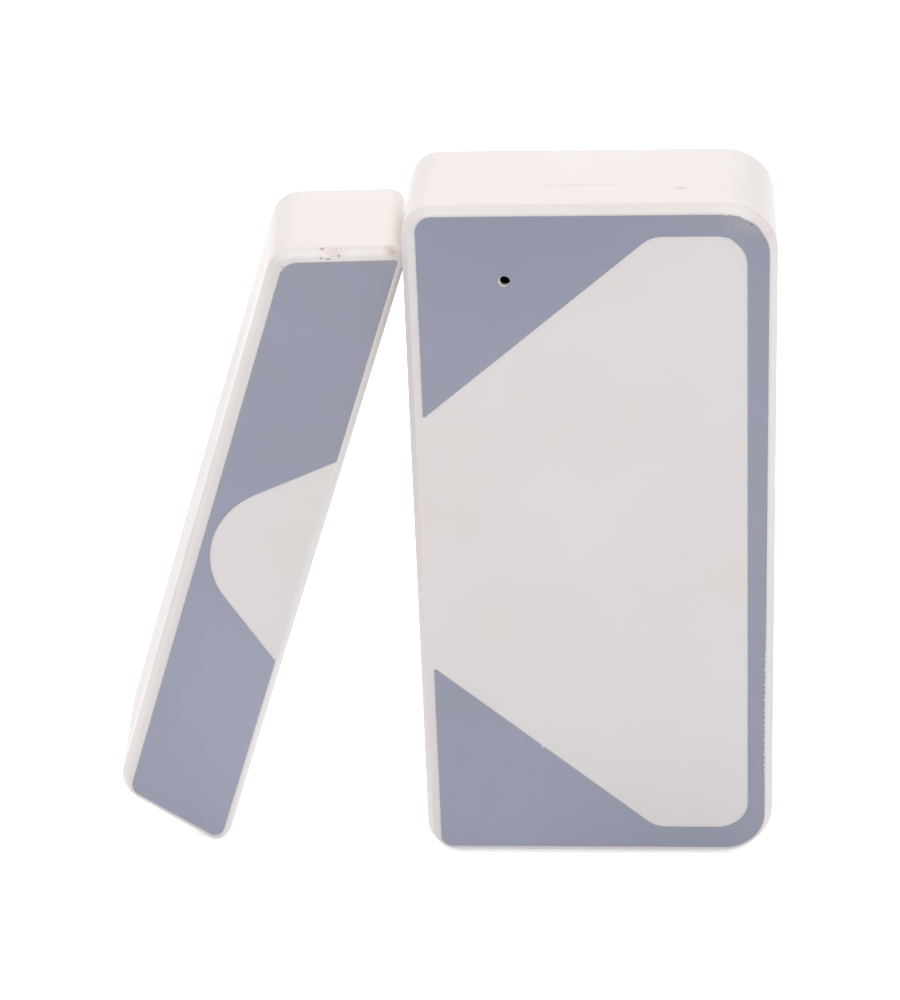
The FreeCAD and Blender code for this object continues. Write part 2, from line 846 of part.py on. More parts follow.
def magnet_back_cover():
    """Magnet cover with two ribs that keep the bar in its seat."""
    bar_back = front + magnet_face_wall + bar_depth
    centre_x = -magnet_width / 2
    ribs = []
    for side in (-1, 1):
        z = magnet_middle + side * press_rib_spacing / 2
        ribs.append(block((centre_x - press_rib_width / 2, centre_x + press_rib_width / 2),
                          (bar_back + press_rib_gap, magnet.ledge_y),
                          (z - press_rib_thickness / 2, z + press_rib_thickness / 2)))
    return joined([plain_cover(magnet)] + ribs)


def magnet_face_print():
    """Print whose pale field carries the sensor's on to a round nose."""
    half = field_half - field_slope * field_joint_gap
    point = half / field_slope
    nose = magnet_width - magnet_print_left_margin - field_nose_strip
    sine = math.sin(math.atan(field_slope))
    nose_round = (point - nose) * sine / (1 - sine)
    field = outline_at(
        [(0.0, magnet_middle - half), (0.0, magnet_middle + half), (-point, magnet_middle)],
        [0, 0, nose_round], front - print_thickness)
    return printed_face(
        magnet.corners,
        (magnet_print_right_margin, magnet_print_end_margin,
         magnet_print_left_margin, magnet_print_end_margin),
        (magnet_print_round_foot, magnet_print_point,
         magnet_print_round_top, magnet_print_round_bottom),
        prism(field, print_thickness))


def magnet_placement():
    """Leans the magnet housing so that its foot is on the ground and its top meets the sensor."""
    lean = math.radians(lean_angle)
    turn = math.radians(turn_angle)
    taper = math.radians(magnet_taper)
    corner_z = magnet_round_right * (math.tan(taper) + 1 / math.cos(taper))
    foot_centre = magnet_round_right * math.sin(lean) + corner_z * math.cos(lean)
    top_centre = (magnet_height - corner_z) * math.sin(lean) - magnet_round_right * math.cos(lean)
    reach = (top_centre + magnet_round_right) * math.cos(turn)
    reach -= (front + rim_depth) * math.sin(turn)
    place = Vector(sensor.left - touch_gap - reach, magnet_setback, magnet_round_right - foot_centre)
    turned = FreeCAD.Rotation(Vector(0, 0, 1), turn_angle)
    leaned = FreeCAD.Rotation(Vector(0, 1, 0), lean_angle)
    return FreeCAD.Placement(place, turned.multiply(leaned))


sensor_nodes = {
    "sensor_front_shell": sensor_front_shell(),
    "sensor_back_cover": sensor_back_cover(),
    "sensor_face_print": sensor_face_print(),
    "sensor_mount_tape": mount_tape(sensor),
    "circuit_board": circuit_board(),
    "board_screws": board_screws(),
    "battery_cell": battery_cell(),
    "battery_plate_contact": battery_plate_contact(),
    "battery_spring_contact": battery_spring_contact(),
    "reed_switch_glass": reed_switch_glass(),
    "reed_switch_leads": reed_switch_leads(),
    "status_led": status_led(),
    "encoder_chip": encoder_chip(),
    "rf_transistor": rf_transistor(),
    "saw_resonator": saw_resonator(),
    "chip_resistors": chip_row(resistor_place, resistor_spacing, resistor_count, resistor_body),
    "chip_capacitors": chip_row(capacitor_place, capacitor_spacing, capacitor_count, capacitor_body),
    "choke_coil": choke_coil(),
    "loop_antenna": loop_antenna(),
}

magnet_nodes = {
    "magnet_front_shell": magnet_front_shell(),
    "magnet_back_cover": magnet_back_cover(),
    "magnet_face_print": magnet_face_print(),
    "magnet_mount_tape": mount_tape(magnet),
    "magnet_bar": magnet_bar(),
}

os.makedirs("parts", exist_ok=True)
leaning = magnet_placement().toMatrix()
for name, shape in sensor_nodes.items():
    shape.exportStep(f"parts/{name}.step")
for name, shape in magnet_nodes.items():
    shape.transformed(leaning).exportStep(f"parts/{name}.step")
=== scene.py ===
"""Door and window sensor: moulded housings with printed faces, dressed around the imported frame."""

import json
import logging
import math
from collections.abc import Callable
from dataclasses import dataclass, field, replace
from enum import Enum
from typing import Any

import bmesh
import bpy
import numpy as np
from mathutils import Matrix, Vector

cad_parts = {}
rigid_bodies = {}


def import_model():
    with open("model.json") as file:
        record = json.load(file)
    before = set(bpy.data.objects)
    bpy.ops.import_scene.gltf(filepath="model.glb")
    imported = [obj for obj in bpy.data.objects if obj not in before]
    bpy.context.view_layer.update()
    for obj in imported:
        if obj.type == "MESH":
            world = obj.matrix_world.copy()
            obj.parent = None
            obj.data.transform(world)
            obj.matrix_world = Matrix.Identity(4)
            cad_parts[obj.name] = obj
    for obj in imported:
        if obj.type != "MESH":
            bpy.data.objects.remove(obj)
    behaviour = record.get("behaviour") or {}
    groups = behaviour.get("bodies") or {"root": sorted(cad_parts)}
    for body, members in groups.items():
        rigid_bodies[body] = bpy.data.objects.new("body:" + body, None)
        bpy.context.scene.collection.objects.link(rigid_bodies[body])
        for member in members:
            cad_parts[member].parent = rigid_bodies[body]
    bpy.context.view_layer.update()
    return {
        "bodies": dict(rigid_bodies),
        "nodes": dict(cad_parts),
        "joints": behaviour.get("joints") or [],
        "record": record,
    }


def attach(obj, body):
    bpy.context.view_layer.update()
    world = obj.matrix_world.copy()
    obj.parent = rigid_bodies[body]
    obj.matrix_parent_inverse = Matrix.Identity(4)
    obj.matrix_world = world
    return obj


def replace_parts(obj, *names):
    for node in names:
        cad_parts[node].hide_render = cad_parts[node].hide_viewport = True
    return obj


Array = np.ndarray
Object = bpy.types.Object
Tree = bpy.types.NodeTree
Socket = bpy.types.NodeSocket
Pair = tuple[float, float]
Triple = tuple[float, float, float]

LOG = logging.getLogger("door_sensor")
MM = 0.001
# Depth of the sensor's face, in millimetres.
FACE_Y = -7.5
# Lean of the magnet housing, in degrees.
MAGNET_LEAN = 18.25
# Points closer than this, in metres, are merged.
MERGE_DISTANCE = 1e-7
# Lengths below this, in millimetres, count as nothing.
TOUCH = 1e-6
# Edges that turn by more than this stay sharp under the smooth shading.
SHARP_ANGLE = math.radians(40)
# Scaled length from one crest of a wave texture to the next.
WAVE_CREST = 0.314
WHITE = "#FFFFFF"
BODY = "root"


class Relief(Enum):
    """How the fine relief of a surface runs."""

    SPARKED = "an even grain, as from a spark-eroded tool"
    CELLS = "small round cells, as in foam"
    WEAVE = "two crossed sets of threads"
    TURNS = "turns of wire side by side"


# Colours and nodes

def linear(hex_colour: str) -> tuple[float, float, float, float]:
    """Turns an sRGB hex colour to linear light.

    Args:
        hex_colour: Colour as #RRGGBB.

    Returns:
        Linear red, green, blue and an alpha of 1.
    """
    srgb = np.array([int(hex_colour[i:i + 2], 16) for i in (1, 3, 5)]) / 255
    light = np.where(srgb <= 0.04045, srgb / 12.92, ((srgb + 0.055) / 1.055) ** 2.4)
    return (*map(float, light), 1.0)


def add_node(tree: Tree, kind: str, inputs: dict[Any, Any] | None = None,
             **settings: Any) -> bpy.types.Node:
    """Adds a node with its settings, and sets or links its inputs.

    Args:
        tree: Node tree that takes the node.
        kind: Blender's name of the node type, without the ShaderNode before it.
        inputs: Value, or socket to link from, for each input by name or number.
        settings: Properties of the node itself.

    Returns:
        The new node.
    """
    node = tree.nodes.new(f"ShaderNode{kind}")
    for name, value in settings.items():
        setattr(node, name, value)
    for socket, value in (inputs or {}).items():
        if isinstance(value, Socket):
            tree.links.new(value, node.inputs[socket])
        else:
            node.inputs[socket].default_value = value
    return node


def empty_tree(owner: bpy.types.Material | bpy.types.World) -> Tree:
    """Gives a material or a world a node tree with nothing in it.

    Args:
        owner: The material or world.

    Returns:
        Its empty tree.
    """
    owner.use_nodes = True
    owner.node_tree.nodes.clear()
    return owner.node_tree


# Finishes

@dataclass(frozen=True)
class Mark:
    """Stain, chip, scuff or change of tone that sits at one place of a surface.

    It is an ellipsoid of colour about its centre, in millimetres, leaned about Y in degrees. It
    fades over the outer part of its reach, and a noise makes its border ragged.
    """

    centre: Triple
    reach: Triple
    colour: str
    strength: float = 0.9
    grain: float = 0.3
    ragged: float = 1.2
    fade: float = 0.4
    lean: float = 0.0

    def share(self, tree: Tree, place: Socket) -> Socket:
        """Works out how far the mark covers what is under it.

        Args:
            tree: Node tree of the material.
            place: Position in millimetres.

        Returns:
            Share from 0 to the mark's strength.
        """
        away = add_node(tree, "VectorMath", {0: place, 1: self.centre}, operation="SUBTRACT")
        upright = add_node(tree, "VectorRotate",
                           {"Vector": away.outputs[0], "Angle": -math.radians(self.lean)},
                           rotation_type="Y_AXIS")
        scaled = add_node(tree, "VectorMath", {0: upright.outputs[0], 1: self.reach},
                          operation="DIVIDE")
        radius = add_node(tree, "VectorMath", {0: scaled.outputs[0]}, operation="LENGTH")
        speckle = add_node(tree, "TexNoise",
                           {"Vector": place, "Scale": 1 / self.grain, "Detail": 2.0})
        border = add_node(tree, "Math",
                          {0: speckle.outputs["Fac"], 1: -self.ragged, 2: radius.outputs["Value"]},
                          operation="MULTIPLY_ADD")
        outer = 1 - self.ragged / 2
        covered = add_node(tree, "MapRange",
                           {"Value": border.outputs[0], "From Min": outer - self.fade,
                            "From Max": outer, "To Min": self.strength, "To Max": 0.0})
        return covered.outputs["Result"]


@dataclass(frozen=True)
class Tone(Mark):
    """Broad change of tone with a soft border, also used for painted shade and painted light."""

    strength: float = 1.0
    grain: float = 4.0
    ragged: float = 0.4
    fade: float = 0.9


@dataclass(frozen=True)
class Speck(Mark):
    """Small speck of dirt, or a spot where the coat is gone."""

    strength: float = 0.8
    grain: float = 0.2
    ragged: float = 1.0


@dataclass(frozen=True)
class Band:
    """Stretch of another colour across a piece, between two planes of one axis (0, 1 or 2)."""

    axis: int
    low: float
    high: float
    colour: str
    metallic: float = 0.0

    def share(self, tree: Tree, place: Socket) -> Socket:
        """Tells the places between the planes from those beyond them.

        Args:
            tree: Node tree of the material.
            place: Position in millimetres.

        Returns:
            1 between the planes and 0 beyond them.
        """
        parts = add_node(tree, "SeparateXYZ", {0: place})
        inside = add_node(tree, "Math",
                          {0: parts.outputs[self.axis], 1: (self.low + self.high) / 2,
                           2: (self.high - self.low) / 2}, operation="COMPARE")
        return inside.outputs[0]


def metal_bands(axis: int, colour: str, *spans: Pair) -> tuple[Band, ...]:
    """Describes stretches of bare metal on a piece."""
    return tuple(Band(axis, low, high, colour, 1.0) for low, high in spans)


@dataclass(frozen=True)
class Finish:
    """Surface of one real material.

    The colour wanders between two shades at the mottle's size, the roughness with it, and a
    finer relief of the grain's size is raised as bump. Sizes are in millimetres. An edge
    colour shows where a piece's attribute named edge says so.
    """

    name: str
    colour: str
    shade: str
    roughness: float
    roughness_swing: float = 0.04
    metallic: float = 0.0
    ior: float = 1.5
    mottle: float = 6.0
    mottle_range: Pair = (0.3, 0.7)
    relief: Relief = Relief.SPARKED
    grain: float = 0.4
    grain_height: float = 0.004
    stretch: Triple = (1.0, 1.0, 1.0)
    coat: float = 0.0
    transmission: float = 0.0
    edge: str = ""
    bands: tuple[Band, ...] = ()
    marks: tuple[Mark, ...] = ()

    def height(self, tree: Tree, place: Socket) -> Socket:
        """Works out the relief from 0 to 1.

        Args:
            tree: Node tree of the material.
            place: Position in millimetres.

        Returns:
            Height of the relief.
        """
        if self.relief is Relief.CELLS:
            cells = add_node(tree, "TexVoronoi", {"Vector": place, "Scale": 1 / self.grain})
            return cells.outputs["Distance"]
        if self.relief is Relief.SPARKED:
            grain = add_node(tree, "TexNoise",
                             {"Vector": place, "Scale": 1 / self.grain, "Detail": 2.0})
            return grain.outputs["Fac"]
        ways = "Z" if self.relief is Relief.TURNS else "ZX"
        rows = [add_node(tree, "TexWave",
                         {"Vector": place, "Scale": WAVE_CREST / self.grain, "Distortion": 0.15},
                         bands_direction=way).outputs["Fac"] for way in ways]
        if self.relief is Relief.TURNS:
            return rows[0]
        return add_node(tree, "Math", dict(enumerate(rows)), operation="MAXIMUM").outputs[0]

    def colours(self, tree: Tree, place: Socket, mottle: Socket) -> tuple[Any, Any]:
        """Lays the shade, the edge, the bands and the marks over the colour, in this order.

        Args:
            tree: Node tree of the material.
            place: Position in millimetres.
            mottle: Slow noise from 0 to 1.

        Returns:
            Colour socket, and the metallic value or its socket.
        """
        low, high = self.mottle_range
        shades = add_node(tree, "MapRange", {"Value": mottle, "From Min": low, "From Max": high})
        layers = [(shades.outputs["Result"], self.shade)]
        if self.edge:
            rim = add_node(tree, "Attribute", attribute_name="edge")
            layers.append((rim.outputs["Fac"], self.edge))
        metallic: Any = self.metallic
        for band in self.bands:
            share = band.share(tree, place)
            layers.append((share, band.colour))
            if band.metallic != self.metallic:
                metallic = add_node(tree, "Mix",
                                    {0: share, 2: metallic, 3: band.metallic}).outputs[0]
        layers += [(mark.share(tree, place), mark.colour) for mark in self.marks]
        colour: Any = linear(self.colour)
        for share, laid in layers:
            colour = add_node(tree, "Mix", {"Factor": share, "A": colour, "B": linear(laid)},
                              data_type="RGBA").outputs["Result"]
        return colour, metallic

    def material(self) -> bpy.types.Material:
        """Builds the node material, with its pattern on Object coordinates.

        Returns:
            The new material.
        """
        made = bpy.data.materials.new(self.name)
        tree = empty_tree(made)
        where = add_node(tree, "TexCoord")
        place = add_node(tree, "VectorMath",
                         {0: where.outputs["Object"], 1: (1 / MM, 1 / MM, 1 / MM)},
                         operation="MULTIPLY").outputs[0]
        drawn = add_node(tree, "VectorMath", {0: place, 1: self.stretch},
                         operation="MULTIPLY").outputs[0]
        mottle = add_node(tree, "TexNoise",
                          {"Vector": drawn, "Scale": 1 / self.mottle, "Detail": 3.0}).outputs["Fac"]
        colour, metallic = self.colours(tree, place, mottle)
        rough = add_node(tree, "MapRange",
                         {"Value": mottle, "To Min": self.roughness - self.roughness_swing,
                          "To Max": self.roughness + self.roughness_swing})
        bump = add_node(tree, "Bump",
                        {"Height": self.height(tree, drawn), "Distance": self.grain_height * MM,
                         "Strength": 1.0})
        shader = add_node(tree, "BsdfPrincipled",
                          {"Base Color": colour, "Roughness": rough.outputs["Result"],
                           "Metallic": metallic, "IOR": self.ior, "Coat Weight": self.coat,
                           "Transmission Weight": self.transmission,
                           "Normal": bump.outputs["Normal"]})
        add_node(tree, "OutputMaterial", {"Surface": shader.outputs["BSDF"]})
        return made


# Moulded ABS straight from a fine-sparked tool: a warm white that is satin, not glossy, and
# shows its grain only where the light grazes it.
WHITE_ABS = Finish("moulded_abs", "#F5F0EE", "#F2ECE9", roughness=0.46, ior=1.53, mottle=14.0,
                   grain=0.30, grain_height=0.003)
# Pad-printed ink: one even grey-blue coat, a little flatter than the plastic under it and lighter
# towards the foot.
PRINT_INK = Finish("pad_printed_ink", "#A5A5BA", "#A0A6B5", roughness=0.52, ior=1.48, mottle=7.0,
                   grain=0.22, grain_height=0.002, edge="#ABA6AA",
                   marks=(Tone((-34.0, -5.0, 8.0), (16.0, 9.0, 32.0), "#B1B4C8"),))
# The sensor's shell is scuffed pale on the bevel beside the print's upper right corner, and
# greyed to a cooler tone by painted shade down its right side.
SENSOR_ABS = replace(WHITE_ABS, name="moulded_abs_sensor", marks=(
    Mark((14.0, -6.9, 70.3), (2.4, 0.8, 0.8), "#FFF8F6", 1.0, grain=0.24, ragged=3.0, fade=0.6),
    Mark((14.4, -7.4, 70.05), (1.6, 0.4, 0.4), "#FFFCFB", 1.0, grain=0.3, ragged=1.4, fade=0.6),
    Tone((16.2, -6.6, 68.6), (2.0, 1.4, 3.4), "#FFF4F0", grain=2.0, fade=0.8),
    # Painted shade: greys the lower right bevel with a cool tint.
    Tone((17.4, -7.0, 22.0), (0.8, 1.5, 26.0), "#E6E3EA", 0.9, grain=2.0, fade=0.7),
))
# The magnet housing's left wall is greyed by painted shade and its right bevel brightened by
# painted light. Its top bevel is brightened by painted light too, with a pink smear, specks of
# dirt and a brown smudge near the sensor, and its right edge is yellowed by painted warm shade.
MAGNET_ABS = replace(WHITE_ABS, name="moulded_abs_magnet", marks=(
    # Painted shade: greys the left wall.
    Tone((-42.0, 3.4, 30.5), (1.5, 11.0, 36.0), "#E0DBDC", ragged=0.2, fade=0.4, lean=MAGNET_LEAN),
    # Painted light: brightens the right bevel.
    Tone((-28.0, -4.5, 32.4), (0.9, 2.2, 60.0), "#FFFDFB", ragged=0.2, fade=0.5, lean=MAGNET_LEAN),
    # Painted light: brightens the top bevel.
    Tone((-24.0, -4.6, 65.3), (8.0, 1.2, 1.3), "#FFFDFC", 0.9, grain=2.0, fade=0.8),
    # Painted warm shade: yellows the top of the right edge beside the sensor.
    Tone((-18.3, 2.5, 65.1), (1.6, 11.0, 2.0), "#E9E0CE", 0.4, grain=2.0, ragged=0.6, fade=0.8),
    Mark((-24.2, -4.15, 65.5), (1.5, 0.8, 0.7), "#E9CDC8", 0.55, grain=0.24, ragged=3.4, fade=0.7),
    Speck((-25.25, -3.88, 65.65), (0.26, 0.3, 0.15), "#AA9A95", fade=0.6),
    Speck((-23.63, -4.55, 65.24), (0.18, 0.3, 0.16), "#A8958F", fade=0.6),
    Speck((-25.25, -4.88, 65.1), (0.2, 0.3, 0.12), "#C2B7B4", 0.9),
    Speck((-24.62, -4.87, 65.0), (0.32, 0.3, 0.1), "#B9ACA9", 0.9),
    Speck((-28.98, -5.18, 64.35), (0.14, 0.3, 0.14), "#D3B5B4", ragged=0.6),
    Mark((-18.75, -3.75, 65.35), (0.75, 0.9, 0.75), "#C4B3AB", 0.7, grain=0.6, ragged=1.0,
         fade=0.9),
))
# The sensor's coat is darker along the top and lighter at the lower left, worn at the upper right
# corner with a dark speck in it, and has a chip on the lower slant.
SENSOR_INK = replace(PRINT_INK, name="pad_printed_ink_sensor", marks=(
    Tone((-6.0, -7.6, 71.0), (34.0, 3.0, 15.0), "#9B9FB1", fade=0.8),
    Tone((-10.0, -7.6, 3.0), (17.0, 3.0, 17.0), "#ADAFC3"),
    Mark((14.4, -7.6, 69.4), (2.8, 0.8, 1.5), "#B4AFB6", 0.7, grain=0.5, ragged=1.4, fade=0.7),
    Speck((15.0, -7.6, 69.35), (0.14, 0.3, 0.12), "#77737A", 0.9, ragged=0.6),
    Speck((-5.45, -7.6, 12.98), (0.24, 0.3, 0.16), "#F0EEEE", 1.0, ragged=0.8),
))
# Closed-cell polyethylene foam: matt, off-white, with pinhead cells.
PE_FOAM = Finish("polyethylene_foam", "#EAE8E2", "#E5E2DB", roughness=0.9, mottle=1.6,
                 relief=Relief.CELLS, grain=0.45, grain_height=0.05)
# Glass-fibre laminate under green solder mask: glossy lacquer over a woven ground.
SOLDER_MASK = Finish("solder_mask_laminate", "#1C5A31", "#174E2A", roughness=0.3, coat=0.4,
                     mottle=2.0, relief=Relief.WEAVE, grain=0.5, grain_height=0.006)
# Zinc-plated steel: bright, slightly blue and drawn by the thread rolling.
ZINC_STEEL = Finish("zinc_plated_steel", "#C9CACB", "#B9BBBD", roughness=0.32, metallic=1.0,
                    mottle=1.2, grain=0.2, grain_height=0.004)
# Shrunk PVC jacket of a cylinder cell: smooth and fairly glossy, open over the steel ends.
CELL_JACKET = Finish("pvc_cell_jacket", "#5C6470", "#565E6A", roughness=0.28, coat=0.5,
                     mottle=5.0, grain=1.2, grain_height=0.01,
                     bands=(*metal_bands(0, "#C9CACB", (15.0, 16.0), (-12.5, -12.05)),
                            Band(0, 9.6, 13.2, "#B9863C")))
# Nickel-plated spring steel: warm bright sheet with rolling lines along its length.
NICKEL_STRIP = Finish("nickel_plated_strip", "#CFC9BE", "#C2BCB1", roughness=0.25, metallic=1.0,
                      mottle=1.0, grain=0.15, grain_height=0.003, stretch=(1.0, 0.15, 1.0))
# Soda glass of a reed switch: clear and faintly green.
REED_GLASS = Finish("soda_glass", "#DDEBE2", "#D8E8DE", roughness=0.06, ior=1.51, mottle=4.0,
                    grain=2.0, grain_height=0.001, transmission=0.9)
# Tinned nickel-iron: a soft grey metal, dull from annealing.
REED_METAL = Finish("tinned_nickel_iron", "#B9B6B1", "#ABA8A3", roughness=0.38, metallic=1.0,
                    mottle=0.8, grain=0.12, grain_height=0.003)
# Diffused epoxy of a lamp: milky, with a smooth moulded skin.
LAMP_EPOXY = Finish("diffused_epoxy", "#EDEBDD", "#E3E0D0", roughness=0.22, ior=1.54, mottle=0.8,
                    grain=0.3, grain_height=0.001)
# Filled epoxy of chip bodies: near black and matt from the mould, with tinned pins beyond it.
CHIP_EPOXY = Finish("moulded_chip_epoxy", "#26262A", "#202024", roughness=0.5, mottle=0.9,
                    grain=0.08, grain_height=0.004,
                    bands=metal_bands(2, "#BDBBB6", (34.96, 36.2), (29.8, 31.04), (45.16, 46.4),
                                      (42.6, 43.84)))
# Drawn nickel-silver can: bright, with fine draw marks round it.
DRAWN_CAN = Finish("drawn_nickel_silver", "#C6C5C2", "#B8B7B4", roughness=0.28, metallic=1.0,
                   mottle=1.5, grain=0.2, grain_height=0.003)
# Glazed alumina with a black resistive coat between tinned caps.
RESISTOR_GLAZE = Finish("glazed_alumina", "#2E2E31", "#27272A", roughness=0.35, mottle=0.6,
                        grain=0.1, grain_height=0.002,
                        bands=metal_bands(2, "#C4C2BD", (22.9, 23.4), (24.6, 25.1)))
# Unglazed barium titanate: dull tan ceramic between tinned caps.
CAPACITOR_CERAMIC = Finish("titanate_ceramic", "#A98F6C", "#9C8362", roughness=0.55, mottle=0.5,
                           grain=0.1, grain_height=0.003,
                           bands=metal_bands(2, "#C4C2BD", (53.1, 53.6), (54.4, 54.9)))
# Enamelled copper wire, 0.15 mm, wound close: orange metal under a clear varnish.
ENAMELLED_COPPER = Finish("enamelled_copper", "#C4764A", "#B4683F", roughness=0.25, metallic=1.0,
                          mottle=0.8, relief=Relief.TURNS, grain=0.15, grain_height=0.02)
# Sintered ferrite: charcoal ceramic, ground flat, with fine pits.
FERRITE = Finish("sintered_ferrite", "#3A3A3D", "#303033", roughness=0.5, mottle=1.5, grain=0.18,
                 grain_height=0.01)

NODE_FINISHES: dict[str, Finish] = {
    "sensor_back_cover": WHITE_ABS,
    "magnet_back_cover": WHITE_ABS,
    "circuit_board": SOLDER_MASK,
    "board_screws": ZINC_STEEL,
    "battery_cell": CELL_JACKET,
    "battery_plate_contact": NICKEL_STRIP,
    "battery_spring_contact": NICKEL_STRIP,
    "reed_switch_glass": REED_GLASS,
    "reed_switch_leads": REED_METAL,
    "status_led": LAMP_EPOXY,
    "encoder_chip": CHIP_EPOXY,
    "rf_transistor": CHIP_EPOXY,
    "saw_resonator": DRAWN_CAN,
    "chip_resistors": RESISTOR_GLAZE,
    "chip_capacitors": CAPACITOR_CERAMIC,
    "choke_coil": ENAMELLED_COPPER,
    "loop_antenna": ENAMELLED_COPPER,
    "magnet_bar": FERRITE,
}


# Surfaces

def unit(vectors: Array) -> Array:
    """Scales each row of an array to length 1."""
    return vectors / np.linalg.norm(vectors, axis=-1, keepdims=True)


def sides(corners: Array) -> tuple[Array, Array]:
    """Gives the directions along an outline's sides and their outward normals."""
    along = unit(np.roll(corners, -1, axis=0) - corners)
    return along, np.stack([along[:, 1], -along[:, 0]], axis=1)


def moved_in(corners: Array, insets: tuple[float, ...]) -> Array:
    """Moves each side of a convex outline inwards by its own inset.

    A side is the line where the normal times the point is constant, so each new corner solves
    the two moved lines that meet there.

    Args:
        corners: Rows of X and Z, counter-clockwise.
        insets: Inset of the side after each corner.

    Returns:
        The new corners.
    """
    outward = sides(corners)[1]
    level = np.sum(outward * corners, axis=1) - np.array(insets)
    pairs = np.stack([np.roll(outward, 1, axis=0), outward], axis=1)
    return np.linalg.solve(pairs, np.stack([np.roll(level, 1), level], axis=1)[..., None])[..., 0]


def eased(count: int) -> Array:
    """Shares from 0 to 1 that crowd towards both ends, as half a cosine wave."""
    return (1 - np.cos(np.linspace(0, math.pi, count))) / 2


def drawn_in(edge: Array, ring: Array, count: int) -> Array:
    """Rows of a flat face between an edge and a ring or a point, each a share of the way.

    Args:
        edge: Points of the outer edge.
        ring: Points of the inner ring, one for each point of the edge, or one point.
        count: Number of rows, with the edge itself.

    Returns:
        Rows from the edge to the ring, without the edge itself.
    """
    shares = eased(count)[1:, None, None]
    return edge[None] * (1 - shares) + ring[None] * shares


def carried(points: Array, outward: Array, inset: Array, depth: Array) -> Array:
    """Carries a profile round an outline, as each point minus the inset times its normal.

    Args:
        points: Points of the outline as rows of X and Z.
        outward: Outward normal at each point.
        inset: Insets by profile row and point, or one for each row.
        depth: Depth of each profile row.

    Returns:
        Rows by columns by X, Y and Z.
    """
    plane = points[None] - inset[..., None] * outward[None]
    y = np.broadcast_to(depth[:, None], plane.shape[:2])
    return np.stack([plane[..., 0], y, plane[..., 1]], axis=-1)


@dataclass(frozen=True)
class Outline:
    """Closed outline with a round of its own at each corner, seen from the front.

    The corners run counter-clockwise in X and Z, and may turn either way. Each run is sampled at
    its own step, and a guard point close to each of its ends keeps the flat side's shading flat.
    """

    corners: Array
    rounds: tuple[float, ...]
    run_steps: tuple[float, ...]
    round_count: int = 17
    guard: float = 0.05

    def sampled(self) -> tuple[Array, Array, Array]:
        """Works out the outline's points, outward normals and the corner that each follows.

        At a corner the normal turns evenly from one side's normal to the next, and the point
        is the round's centre plus the radius times the normal, or minus it where the corner
        turns inwards.

        Returns:
            Points and normals as rows of X and Z, and the number of a corner for each row.
        """
        corners = self.corners
        along, outward = sides(corners)
        before = np.roll(outward, 1, axis=0)
        cross = before[:, 0] * outward[:, 1] - before[:, 1] * outward[:, 0]
        radii = (np.array(self.rounds) * np.sign(cross))[:, None]
        facing = np.sum(before * outward, axis=1)
        centres = corners - radii * (before + outward) / (1 + facing[:, None])
        start = np.arctan2(before[:, 1], before[:, 0])
        swing = np.arctan2(cross, facing)
        points, normals, owners = [], [], []
        count = len(corners)
        for index in range(count):
            angles = start[index] + swing[index] * np.linspace(0, 1, self.round_count)
            arc = np.stack([np.cos(angles), np.sin(angles)], axis=1)
            points.append(centres[index] + radii[index] * arc)
            normals.append(arc)
            run_start = points[-1][-1]
            following = (index + 1) % count
            run_end = centres[following] + radii[following] * outward[index]
            length = float(np.linalg.norm(run_end - run_start))
            inner = np.linspace(self.guard, length - self.guard,
                                max(2, round(length / self.run_steps[index])))
            points.append(run_start + inner[:, None] * along[index])
            normals.append(np.repeat(outward[index][None], len(inner), axis=0))
            owners.append(np.full(self.round_count + len(inner), index))
        return np.concatenate(points), np.concatenate(normals), np.concatenate(owners)


def rounded_profile(points: list[Pair], rounds: list[float], count: int = 7,
                    guard: float = 0.04) -> Array:
    """Rounds the inner corners of an open profile with tangent arcs.

    Each arc runs from one side's normal to the next about the centre at the radius from both
    sides, with a guard point beyond each end.

    Args:
        points: Corners of the profile.
        rounds: Radius at each corner, 0 at the two ends.
        count: Points of each arc.
        guard: Distance of the guard points from an arc's ends.

    Returns:
        Rows of the rounded profile.
    """
    path = np.array(points)
    rows = [path[:1]]
    for index in range(1, len(path) - 1):
        back = unit(path[index - 1] - path[index])
        ahead = unit(path[index + 1] - path[index])
        half = math.acos(float(np.clip(back @ ahead, -1, 1))) / 2
        run = rounds[index] / math.tan(half)
        centre = path[index] + unit(back + ahead) * (rounds[index] / math.sin(half))
        entry, leave = path[index] + back * run, path[index] + ahead * run
        share = np.linspace(0, 1, count)[:, None]
        sweep = math.pi - 2 * half
        arc = (np.sin((1 - share) * sweep) * (entry - centre)
               + np.sin(share * sweep) * (leave - centre)) / math.sin(sweep) + centre
        rows += [entry[None] + back * guard, arc, leave[None] + ahead * guard]
    rows.append(path[-1:])
    return np.concatenate(rows)


def quads(numbers: Array, close_rows: bool = False) -> Array:
    """Lists the quads of a grid of point numbers whose columns close on themselves.

    Args:
        numbers: Point numbers by row and column.
        close_rows: Whether the last row joins the first.

    Returns:
        Rows of four point numbers.
    """
    lower = numbers if close_rows else numbers[:-1]
    upper = np.roll(numbers, -1, axis=0) if close_rows else numbers[1:]
    ring = [lower, np.roll(lower, -1, axis=1), np.roll(upper, -1, axis=1), upper]
    return np.stack(ring, axis=-1).reshape(-1, 4)


def linked(name: str, data: bpy.types.ID) -> Object:
    """Makes an object of its data and links it to the scene.

    Args:
        name: Name of the object.
        data: Its mesh, camera or light.

    Returns:
        The linked object, at the origin.
    """
    made = bpy.data.objects.new(name, data)
    bpy.context.scene.collection.objects.link(made)
    return made


